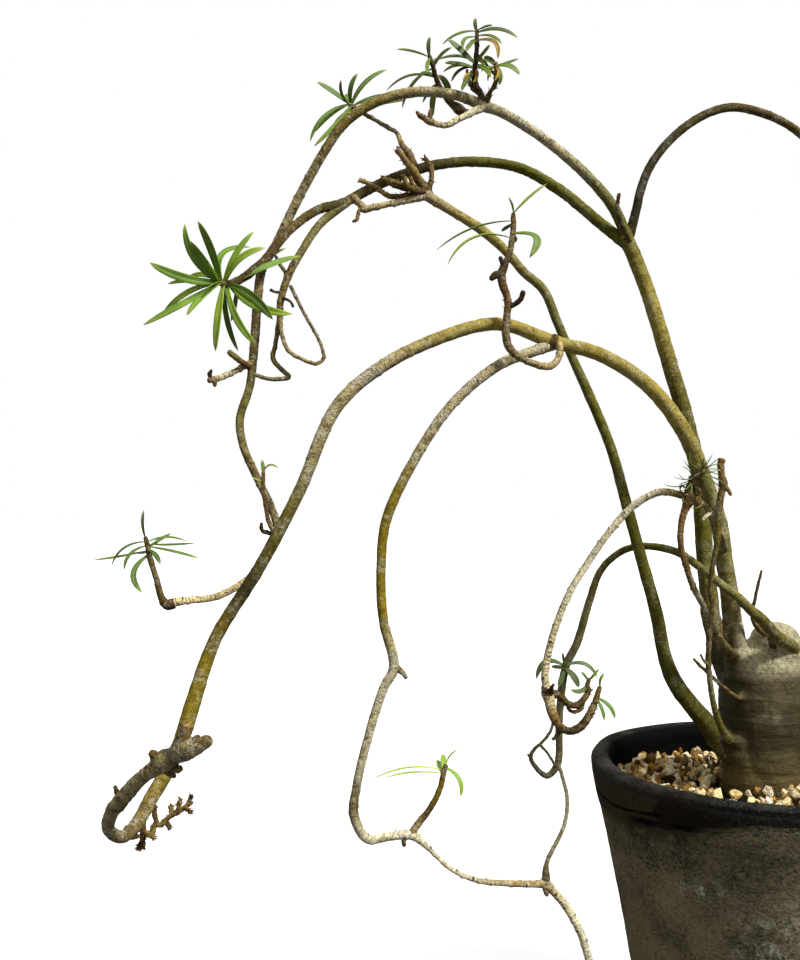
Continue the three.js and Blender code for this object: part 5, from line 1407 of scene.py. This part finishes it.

# %% [markdown]
# ## Trunk bark
# The skin is grey brown with olive showing through in upright streaks, and the old cut at the top has
# dried pale. Painted shade darkens a band at its waist and its left side, and its foot is paler, partly
# with a stain and partly with painted light. The trunk could be painted by hand, but a pattern made by
# rule holds from every side: the streaks are noise squeezed sideways, and the wrinkles are noise squeezed
# upright.

# %% The trunk finish
FOOT_STAIN_AND_LIGHT = (0.15, 0.128)    # these five are heights above the pot's foot, in metres
SHADED_BAND = (0.144, 0.152, 0.162, 0.174)
DRY_PATCHES = (0.155, 0.165)
OLD_CUT = (0.178, 0.186)
STEM_SKIN = (0.188, 0.199)


def trunk_bark():
    f = Finish("trunk_bark")
    level = f.split(f.place, 2)
    side = f.split(f.place, 0)
    streaks = f.blotches(1, 4, f.stretched(f.place, (150, 150, 60)), 0.6)
    wrinkles = f.blotches(1, 4, f.stretched(f.place, (50, 50, 480)), 0.6)
    broad = f.blotches(60, 4)
    fine = f.blotches(1400, 3)
    pores = f.blotches(520, 4, rough=0.7)
    colour = f.shades(f.step(broad + (streaks - 0.5) * 0.5, 0.34, 0.66), "#3f371f", "#554b33")
    colour = f.over(colour, f.step(f.blotches(48, 3), 0.42, 0.62) * 0.4, "#5a5626")
    # A paler foot: partly a stain, partly painted light that lifts the shade low on the trunk.
    colour = f.over(colour, f.step(level, *FOOT_STAIN_AND_LIGHT) * 0.6, "#6f5c39")
    # Painted shade on the trunk's left side.
    colour = f.over(colour, f.step(side, -0.004, -0.012) * 0.2, "#332c16")
    colour = f.over(colour, f.step(wrinkles, 0.54, 0.68) * 0.14, "#968a62")
    colour = f.over(colour, f.step(wrinkles, 0.45, 0.34) * 0.38, "#272011")
    colour = f.over(colour, f.step(pores, 0.46, 0.37) * 0.35, "#2a2413")
    colour = f.over(colour, f.step(pores, 0.56, 0.66) * 0.16, "#a89b74")
    # Painted shade in a band at the trunk's waist.
    painted_shade_band = f.band(level, *SHADED_BAND)
    colour = f.over(colour, painted_shade_band * 0.7, "#332b16")
    patch = f.step(f.blotches(64, 4), 0.54, 0.68) * f.step(level, *DRY_PATCHES)
    colour = f.over(colour, patch * 0.22, "#ada182")
    colour = f.over(colour, f.step(f.cells(75), 0.16, 0.1) * f.step(fine, 0.4, 0.5) * 0.5, "#7c5430")
    cut = f.step(level, *OLD_CUT) * f.step(side, -0.016, -0.011)
    skin = f.step(level, *STEM_SKIN) * f.step(side, -0.011, -0.015)
    colour = f.mix(skin * 0.8, colour, f.shades(f.step(fine, 0.4, 0.65), "#4a4420", "#75683a"))
    colour = f.mix(cut * 0.85, colour, f.shades(f.step(pores, 0.4, 0.58), "#958b6a", "#bdb390"))
    cut_cracks = f.step(f.cells(330, feature="DISTANCE_TO_EDGE"), 0.05, 0.0) * cut
    colour = f.over(colour, cut_cracks * 0.6, "#4c4836")
    colour = f.over(colour, f.step(fine, 0.62, 0.7) * 0.3, "#2e281c")
    height = wrinkles * 0.7 + streaks * 0.4 + pores * 0.6 + fine * 0.2
    return f.finish(colour, 0.62 + fine * 0.2, f.relief(height, 0.0012, 0.8), Specular_IOR_Level=0.2)


show(trunk, "trunk_skin", trunk_bark(), "trunk")
twigs = fresh()
for barks, stations in TRUNK_TWIGS:
    roll_stem(twigs, stations, barks)
show(twigs, "trunk_twigs", BARK, "trunk")

# %% [markdown]
# ## The pot
# A hand-thrown pot is a turned profile, so its outline, as radius and height in millimetres, is spun
# round the axis. The lip is a thick roll that stands out in a band. Thrown pots are never quite round:
# slow waves in the radius and a slightly uneven lip make it look made by hand, where a modifier's noise
# would dent it anywhere.

# %% Profile of the pot
SPIN_STEPS = 144
LONG_EDGE = 12 * MM
PROFILE = [
    (0, 0), (20, 0), (44.6, 0), (46, 0.5), (46.5, 1.5), (52.1, 30), (58, 60), (63.8, 90), (67.6, 110),
    (69.9, 120.2), (70.5, 121.6), (71.2, 124), (72, 127), (72.8, 131), (73.6, 136), (74, 139.3),
    (73.7, 141), (72.6, 142.4), (71, 143), (69, 143), (67.2, 142.4), (65.7, 141.2), (65, 139.5),
    (64.4, 137.5), (63.8, 134), (60, 114), (54, 80), (48, 46), (44, 22), (42, 11), (41, 9.6), (39.5, 9),
    (20, 9), (0, 9),
]


def spun_pot():
    bm = bmesh.new()
    points = [bm.verts.new((r * MM, 0, z * MM)) for r, z in PROFILE]
    edges = [bm.edges.new(pair) for pair in zip(points, points[1:])]
    long_edges = [e for e in edges if e.calc_length() > LONG_EDGE]
    bmesh.ops.subdivide_edges(bm, edges=long_edges, cuts=7)
    turn = {"angle": 2 * math.pi, "steps": SPIN_STEPS, "use_merge": True}
    bmesh.ops.spin(bm, geom=bm.verts[:] + bm.edges[:], cent=(0, 0, 0), axis=(0, 0, 1), **turn)
    bmesh.ops.remove_doubles(bm, verts=bm.verts[:], dist=SAME_SPOT)
    bmesh.ops.recalc_face_normals(bm, faces=bm.faces[:])
    return bm


pot = spun_pot()
print("pot faces:", len(pot.faces))

# %% Make it look thrown by hand
LIP_FROM = 0.12
LIP_HIGH = 0.023
FOOT_RADIUS = 0.047
SKIN_DEPTH = 0.0004


def unevenness(co):
    """How far a place on the pot stands out from a true circle, in metres."""
    turn = math.atan2(co.y, co.x)
    slow = math.sin(2 * turn + 0.6) * 0.35 + math.sin(3 * turn + 2) * 0.2
    lip = max(0.0, (co.z - LIP_FROM) / LIP_HIGH)
    above_foot = min(1, co.z / 0.01)
    dents = noise.noise(co * 45) * 0.55 + noise.noise(co * 140) * 0.18
    throwing = noise.noise(Vector((co.x * 9, co.y * 9, co.z * 420))) * 0.14
    return (slow * min(1, co.z / 0.05) + dents * above_foot * (1 + 0.5 * lip) + throwing * above_foot) * MM


for v in pot.verts:
    radius = math.hypot(v.co.x, v.co.y)
    if radius > FOOT_RADIUS and v.co.z > MM:
        out = unevenness(v.co) - SKIN_DEPTH
        v.co.x *= 1 + out / radius
        v.co.y *= 1 + out / radius
        v.co.z += min(1, max(0, (v.co.z - 0.125) / 0.018)) * (noise.noise(v.co * 38) * 0.5 - 0.4) * MM
highest = max(v.co.z for v in pot.verts)
print("height of the pot in mm:", round(highest / MM, 1))

# %% [markdown]
# ## The pot's skin
# This is dark fired clay. The lip is charcoal and slightly burnished, the side brown grey and matt with
# fine rubbing marks, and lime from the water has bloomed pale low on the front. A ragged crease runs where
# the lip's band was pressed on, and painted shade makes it and the hollow under the roll near black. Each
# of these has a function of its own, and the last function lays them over each other. More light and shade
# is painted in too: a painted highlight at the lip's left end, painted glints on its front, a painted
# shadow below the collar on the left, and painted shade that makes the inner wall black.

# %% Patterns that the whole pot shares
class Clay(Finish):
    def __init__(self):
        super().__init__("fired_clay")
        self.x = self.split(self.place, 0)
        self.y = self.split(self.place, 1)
        self.z = self.split(self.place, 2)
        self.broad = self.blotches(38, 5)
        self.mottle = self.blotches(150, 5, rough=0.65)
        self.fine = self.blotches(800, 5, rough=0.75)
        self.grainy = self.blotches(2200, 3, rough=0.7)
        self.hatch = self.blotches(1, 4, self.stretched(self.place, (620, 620, 950)), 0.8)


# %% The side
def clay_side(f):
    rubbed = f.blotches(1, 3, f.stretched(f.place, (300, 300, 1100)))
    body = f.shades(f.step(f.broad + (f.x + 0.03) * -2.5, 0.38, 0.64), "#4a4636", "#8c7f5e")
    body = f.over(body, f.step(f.mottle, 0.5, 0.7) * 0.38, "#302d21")
    bluish = f.step(f.x, -0.052, -0.036) * f.step(f.z + (f.broad - 0.5) * 0.05, 0.088, 0.104)
    body = f.over(body, bluish * 0.55, "#373730")
    body = f.over(body, f.step(f.hatch, 0.515, 0.57) * 0.6, "#8d8063")
    body = f.over(body, f.step(f.hatch, 0.465, 0.41) * 0.7, "#1b180f")
    body = f.over(body, f.step(f.grainy, 0.54, 0.62) * 0.45, "#1e1b13")
    body = f.over(body, f.step(f.grainy, 0.46, 0.37) * 0.4, "#8f846a")
    body = f.over(body, f.step(rubbed, 0.56, 0.7) * 0.15, "#988b6c")
    elsewhere = f.stretched(f.place, (1, 1, 1), (0.3, 0.1, 0))
    scuffed = f.step(f.blotches(70, 6, elsewhere, 0.7), 0.5, 0.62)
    return f.over(body, scuffed * 0.2, "#9a8d6c")


# %% The lip
def clay_lip(f, roll):
    shade = f.shades(f.step(f.fine, 0.42, 0.62), "#0d0c08", "#2b2720")
    shade = f.over(shade, f.step(f.mottle + (f.x + 0.052) * -12, 0.46, 0.62) * 0.8, "#857750")
    charcoal_and_highlight = f.shades(f.step(f.fine, 0.44, 0.6), "#0a0b0b", "#232424")
    # A painted highlight: paler grey on the roll at the lip's left end.
    charcoal_and_highlight = f.over(charcoal_and_highlight, f.step(f.x, -0.05, -0.068) * f.step(f.mottle, 0.35, 0.55), "#5a5954")
    shade = f.mix(roll, shade, charcoal_and_highlight)
    shade = f.over(shade, f.step(f.grainy, 0.56, 0.64) * 0.3, "#3c3b34")
    # Painted glints: fine pale dots on the front of the lip.
    painted_glints = f.step(f.cells(1000), 0.26, 0.14) * f.step(f.x, -0.052, -0.03) * f.step(f.z, 0.1385, 0.141)
    return f.over(shade, painted_glints * 0.4, "#9a9a94")


# %% Painted shade in the creases where the lip was pressed on, and under the roll
SEAM = (-0.0635, -0.022, 0.1268, 0.135)    # from which x to which x, and at which height there, in metres
UPPER_CREASE = (-0.069, -0.0585, 0.1286, 0.1316)


def shaded_clay_creases(f, ragged, from_axis):
    # The creases and the hollow under the lip's roll get painted shade, near black.
    torn = f.step(f.blotches(1, 4, f.stretched(f.place, (90, 90, 420)), 0.65), 0.47, 0.56)
    crease = f.band(ragged, -0.0022, -0.0014, 0.0004, 0.0012) * f.step(f.x, -0.0665, -0.0625)
    crease = crease * (f.step(f.x, -0.03, -0.046) * 0.6 + 0.4)
    higher = f.z - f.slope(f.x, *UPPER_CREASE) + (f.mottle - 0.5) * 0.002
    upper = f.band(higher, -0.001, -0.0004, 0.0004, 0.001) * f.step(f.x, -0.053, -0.0575)
    under_roll = f.step(f.z, 0.1385, 0.1393) * f.step(f.z + (f.mottle - 0.5) * 0.002, 0.1414, 0.1402)
    under_roll = under_roll * f.step(f.x, -0.052, -0.04) * f.step(from_axis, 0.0715, 0.0722)
    return (crease + upper + under_roll) * (torn * 0.3 + 0.7)


# %% Bloom of lime
BLOOM = (-0.004, 0.082, 0.036, 0.026)    # x and z of the middle, and half its width and height
BLOOM_SPOT = (-0.0405, 0.103, 0.009, 0.007)


def off_middle(f, middle_x, middle_z, half_wide, half_high):
    """0 in the middle of an oval on the pot's front and 1 at its edge."""
    aside = (f.x - middle_x) / half_wide
    up = (f.z - middle_z) / half_high
    return aside * aside + up * up


def lime_bloom(f):
    nearness = f.step(off_middle(f, *BLOOM), 1.3, 0.1) + f.step(off_middle(f, *BLOOM_SPOT), 1.3, 0.2) * 1.2
    return nearness * f.step(f.blotches(150, 6, rough=0.8), 0.48, 0.6) * f.step(f.y, 0.0, -0.02)


# %% The pot finish
WALL_LEAN = 0.187
WALL_RADIUS = 0.044


def fired_clay():
    f = Clay()
    flat = f.stretched(f.place, (1, 1, 0))
    from_axis = f.node("ShaderNodeVectorMath", {"operation": "LENGTH"}, {0: flat}, 1)
    ragged = f.z - f.slope(f.x, *SEAM) + (f.mottle - 0.5) * 0.003 + (f.broad - 0.5) * 0.002
    roll = f.step(f.z + (f.mottle - 0.5) * 0.003, 0.1365, 0.1395)
    colour = f.mix(f.step(ragged, -0.0005, 0.0015), clay_side(f), clay_lip(f, roll))
    shadow = f.step(ragged, -0.011, -0.004) * f.step(f.x, -0.03, -0.05)
    colour = f.over(colour, shadow * 0.8, "#1d1810")
    shaded_creases = shaded_clay_creases(f, ragged, from_axis)
    # Painted shade, near black, in the creases and under the roll.
    colour = f.over(colour, shaded_creases, "#030201")
    below = f.band(ragged, -0.0075, -0.0055, -0.0045, -0.003) * f.step(f.mottle, 0.42, 0.6)
    colour = f.over(colour, below * 0.4, "#8c7d58")
    worn = f.step(f.z, 0.1395, 0.1428) * f.step(f.mottle, 0.45, 0.62)
    colour = f.over(colour, worn * 0.3, "#4c4a42")
    bloom = lime_bloom(f)
    colour = f.mix(bloom * 0.8, colour, f.shades(f.step(f.fine, 0.4, 0.6), "#6a6657", "#bdb7a2"))
    # Painted shade: the inner wall above the grains is painted black.
    inner_wall_shade = f.step(f.z, 0.1424, 0.141) * f.step(from_axis - f.z * WALL_LEAN - WALL_RADIUS, 0.0008, -0.0008)
    colour = f.mix(inner_wall_shade, colour, f.shades(f.step(f.fine, 0.4, 0.65), "#000000", "#030302"))
    height = f.fine * 0.6 + f.mottle * 0.8 + f.grainy * 0.25 + f.hatch * 0.5 + bloom * 0.3 - shaded_creases * 1.4
    roughness = 0.85 - roll * 0.2 + f.fine * 0.12
    return f.finish(colour, roughness, f.relief(height, 0.001, 0.8), Specular_IOR_Level=0.07)


POT = show(pot, "fired_pot", fired_clay(), "pot")

# %% [markdown]
# ## Drain holes
# The maker pushes three holes through the floor before firing. They could be left out, because the pot
# stands on them, but a model is also looked at from below. A Boolean modifier takes them out of the pot,
# and its result is kept.

# %% Cut the holes
HOLES = 3
HOLE_RADIUS = 0.0045
HOLES_FROM_AXIS = 0.019
FLOOR_MIDDLE = 0.0045
drills = bmesh.new()
rod = {"cap_ends": True, "segments": 32, "radius1": HOLE_RADIUS, "radius2": HOLE_RADIUS, "depth": 0.027}
for i in range(HOLES):
    turn = i / HOLES * 2 * math.pi + math.pi / 2
    spot = (HOLES_FROM_AXIS * math.cos(turn), HOLES_FROM_AXIS * math.sin(turn), FLOOR_MIDDLE)
    bmesh.ops.create_cone(drills, matrix=Matrix.Translation(spot), **rod)
drill = placed(drills, "drills")
cutter = POT.modifiers.new("holes", "BOOLEAN")
cutter.operation = "DIFFERENCE"
cutter.object = drill
cut = settle(POT)
bpy.data.objects.remove(drill)
cut.shade_smooth()
print("pot faces after the holes:", len(cut.polygons))

# %% [markdown]
# ## The grains
# The dressing is crushed pumice and lava, each grain angular and a different size. Displaced balls would
# look like pebbles, so a grain is the hull round a few random points, which gives it flat broken faces. A
# few shapes are enough, turned and scaled at random. Four rounds of grains, from the largest to small
# ones and a last few on top, fill the pot over a bed that closes the gaps, painted near black as the shade
# between the grains.

# %% A few grain shapes
GRAIN_CORNERS = 15


def grain_shape(seed):
    draw = random.Random(seed)
    bm = bmesh.new()
    for _ in range(GRAIN_CORNERS):
        point = Vector((draw.gauss(0, 1), draw.gauss(0, 1), draw.gauss(0, 1))).normalized()
        bm.verts.new((point.x, point.y * 0.85, point.z * 0.7))
    hull = bmesh.ops.convex_hull(bm, input=bm.verts[:])
    spare = [g for g in hull["geom_interior"] + hull["geom_unused"] if isinstance(g, bmesh.types.BMVert)]
    bmesh.ops.delete(bm, geom=list(set(spare)), context="VERTS")
    worn = {"segments": 1, "profile": 0.5, "affect": "EDGES", "material": -1, "clamp_overlap": True}
    bmesh.ops.bevel(bm, geom=bm.edges[:], offset=0.14, offset_type="OFFSET", **worn)
    bmesh.ops.recalc_face_normals(bm, faces=bm.faces[:])
    shape = bpy.data.meshes.new(f"grain_{seed}")
    bm.to_mesh(shape)
    bm.free()
    return shape


SHAPES = [grain_shape(seed) for seed in range(8)]
print("faces of a grain:", [len(shape.polygons) for shape in SHAPES])

# %% Scatter them over the soil
STONES = painted("#eee0b6 #dcc48a #c9a767 #d8c8a0 #8f6c34 #a67a30 "
                 "#7a5c2c #ecd8a0 #57431f #cdbc92 #80622f #f6eccc")
DRESSING_RADIUS = 62.0
TRUNK_FOOT = 13.5
MOUND_HIGH = 3.2
MOUND_WIDE = 22
ROUNDS = (    # how many grains, their size and the level of their middles in mm, and a seed
    (210, 6.6, 129.8, 5),
    (360, 4.9, 129.5, 6),
    (420, 3.6, 129.8, 7),
    (240, 4.4, 130.4, 8),
)
SIDE_STEM = (-17, -9)    # where the left side stem comes through, and how far round it is kept clear
SIDE_STEM_CLEAR = 7


def scatter(target, count, size, level, seed):
    """Grains at random on the dressing, but clear of the trunk and of the stem at its foot."""
    draw = random.Random(seed)
    for _ in range(count):
        distance = math.sqrt(draw.random()) * DRESSING_RADIUS
        turn = draw.uniform(0, 2 * math.pi)
        x = distance * math.cos(turn)
        y = distance * math.sin(turn)
        from_trunk = math.hypot(x - 1, y)
        off_stem = max(abs(x - SIDE_STEM[0]), abs(y - SIDE_STEM[1]))
        near_stem = off_stem < SIDE_STEM_CLEAR and from_trunk < 24
        if near_stem or from_trunk < TRUNK_FOOT + size * 0.5:
            continue
        scale = size * draw.uniform(0.7, 1.3) / 2 * MM
        turned = Matrix.Rotation(draw.uniform(0, 6), 4, "X") @ Matrix.Rotation(draw.uniform(0, 6), 4, "Y")
        mound = MOUND_HIGH * max(0.0, 1 - (from_trunk - 13) / MOUND_WIDE)
        place = Matrix.Translation((x * MM, y * MM, (level + mound + draw.uniform(-2.4, 1.8)) * MM))
        bm = bmesh.new()
        bm.from_mesh(draw.choice(SHAPES))
        bmesh.ops.transform(bm, matrix=place @ turned @ Matrix.Scale(scale, 4), verts=bm.verts[:])
        tone = bm.verts.layers.float_color.new("tone")
        colour = draw.choice(STONES) * draw.uniform(0.8, 1.35)
        for v in bm.verts:
            v[tone] = (*colour[:3], 1)
        put(bm, target)


print("grains to scatter at most:", sum(count for count, *_ in ROUNDS))

# %% The bed and its grains
BED_RADIUS = 0.0625
BED_FROM = 0.119
BED_HIGH = 0.0085
dressing = bmesh.new()
dressing.verts.layers.float_color.new("tone")
bed = bmesh.new()
gap_shade_tone = bed.verts.layers.float_color.new("tone")
low = Matrix.Translation((0, 0, BED_FROM))
bmesh.ops.create_circle(bed, cap_ends=True, radius=BED_RADIUS, segments=64, matrix=low)
risen = bmesh.ops.extrude_face_region(bed, geom=bed.faces[:])
rim = [g for g in risen["geom"] if isinstance(g, bmesh.types.BMVert)]
bmesh.ops.translate(bed, vec=(0, 0, BED_HIGH), verts=rim)
bmesh.ops.recalc_face_normals(bed, faces=bed.faces[:])
# The bed is painted near black, as the shade in the gaps between the grains.
for v in bed.verts:
    v[gap_shade_tone] = (*paint("#070503")[:3], 1)
put(bed, dressing)
for count, size, level, seed in ROUNDS:
    scatter(dressing, count, size, level, seed)
print("faces of the dressing:", len(dressing.faces))

# %% [markdown]
# ## Stone
# Pumice is full of tiny bubbles and lava is stained by rust. One finish does for all grains: each has its
# own colour on its points, with pores and stains laid over it.

# %% The stone finish
def stone():
    f = Finish("stone")
    tone = f.attribute("tone")
    pores = f.cells(1500)
    stain = f.blotches(330, 4)
    fine = f.blotches(2200, 3)
    rust = f.tinted(tone, 0.6, 0.42, 0.2)
    colour = f.mix(f.step(stain, 0.48, 0.62) * 0.5, tone, rust)
    colour = f.mix(f.step(fine, 0.5, 0.66) * 0.45, colour, f.tinted(tone, 1.3, 1.28, 1.2))
    colour = f.mix(f.step(pores, 0.26, 0.1) * 0.65, colour, f.tinted(tone, 0.28, 0.22, 0.14))
    relief = f.relief(pores + stain * 0.8, 0.0006)
    return f.finish(colour, 0.75 + fine * 0.2, relief, Specular_IOR_Level=0.2)


show(dressing, "pumice_grains", stone(), "grit_dressing", smooth=False)

# %% [markdown]
# ## The hidden parts
# The potting mix and the net over the drain holes are under the grains, and keep the frame's own solids.
# They still get a real finish, for whoever takes the pot apart.

# %% Potting mix and net
def potting_mix():
    f = Finish("potting_mix")
    lumps = f.cells(260)
    fine = f.blotches(700, 4)
    colour = f.shades(f.step(fine, 0.4, 0.65), "#2f261c", "#5c4c38")
    colour = f.over(colour, f.step(lumps, 0.25, 0.1) * 0.6, "#b8ab8e")
    return f.finish(colour, 0.9 + fine * 0.08, f.relief(lumps + fine, 0.001, 0.8))


def net_plastic():
    f = Finish("net_plastic")
    fine = f.blotches(900, 3)
    colour = f.shades(f.step(fine, 0.4, 0.7), "#1f2422", "#343a36")
    return f.finish(colour, 0.45 + fine * 0.15, f.relief(fine, 0.0002, 0.5))


for node, made in (("soil_mix", potting_mix()), ("drainage_net", net_plastic())):
    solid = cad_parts[node]
    solid.data.materials.clear()
    solid.data.materials.append(made)

# %% [markdown]
# ## Studio
# The plant stands on a plain pale floor. A large soft lamp is high on the right in front, as in a studio.
# Three weak ones lift the left side, the back and the tops, and a pale surround fills the shadows. The
# floor and the surround look whiter to the camera than they light the plant, so the picture's ground is
# white and the plant keeps its contrast.

# %% Floor, lamps and surround
sheet = bmesh.new()
bmesh.ops.create_grid(sheet, x_segments=1, y_segments=1, size=6.0)
floor = placed(sheet, "floor")
pale = Finish("pale_floor")
floor_paint = pale.finish(paint("#b4b4b3"), 0.9)
seen = pale.node("ShaderNodeLightPath", {}, {}, "Is Camera Ray")
paper = pale.node("ShaderNodeEmission", {}, {"Color": (1, 1, 1, 1), "Strength": 0.75})
shown = pale.node("ShaderNodeAddShader", {}, {0: Wire(pale, pale.shader.outputs[0]), 1: paper})
dull = pale.node("ShaderNodeBsdfDiffuse", {}, {"Color": (0.12, 0.12, 0.12, 1)})
both = pale.node("ShaderNodeMixShader", {}, {0: seen, 1: dull, 2: shown})
pale.tree.links.new(both.socket, pale.tree.nodes["Material Output"].inputs["Surface"])
floor.data.materials.append(floor_paint)


def lamp(name, energy, direction, degrees):
    """A distant lamp. The more degrees it fills in the sky, the softer its shadows."""
    data = bpy.data.lights.new(name, "SUN")
    data.energy = energy
    data.angle = math.radians(degrees)
    light = bpy.data.objects.new(name, data)
    light.rotation_euler = (-Vector(direction)).to_track_quat("-Z", "Y").to_euler()
    bpy.context.scene.collection.objects.link(light)


lamp("key", 4.8, (0.75, -0.55, 0.95), 12)
lamp("fill", 0.3, (-0.3, -0.9, 0.4), 60)
lamp("behind", 0.6, (-0.3, 0.9, 0.4), 40)
lamp("overhead", 0.9, (-0.15, -0.35, 1.0), 40)
print("lamps:", len(bpy.data.lights))

# %% Surround
world = bpy.data.worlds.new("surround")
world.use_nodes = True
links = world.node_tree.links
backdrop = world.node_tree.nodes["Background"]
backdrop.inputs["Color"].default_value = (1, 1, 1, 1)
first_look = world.node_tree.nodes.new("ShaderNodeLightPath")
strength = world.node_tree.nodes.new("ShaderNodeMapRange")
strength.inputs["To Min"].default_value = 0.16
strength.inputs["To Max"].default_value = 1.0
links.new(first_look.outputs["Is Camera Ray"], strength.inputs["Value"])
links.new(strength.outputs["Result"], backdrop.inputs["Strength"])
bpy.context.scene.world = world
print("the surround lights the plant with", strength.inputs["To Min"].default_value)

# %% [markdown]
# ## Camera
# The camera is level, close in front and to the left of the pot, so that the arching stems fill the
# picture and the pot is cut by its right and lower edges. It isn't turned towards the pot, because
# upright edges in the picture are upright.

# %% Camera
lens = bpy.data.cameras.new("camera")
lens.sensor_fit = "VERTICAL"
lens.sensor_height = 36.0
lens.lens = 39.375
lens.clip_start = 0.01
camera = bpy.data.objects.new("camera", lens)
camera.location = (-0.1586, -0.463, 0.265)
camera.rotation_euler = (math.radians(90), 0, 0)
bpy.context.scene.collection.objects.link(camera)
bpy.context.scene.camera = camera
bpy.context.scene.view_settings.view_transform = "Standard"
print("camera at", [round(c, 4) for c in camera.location])
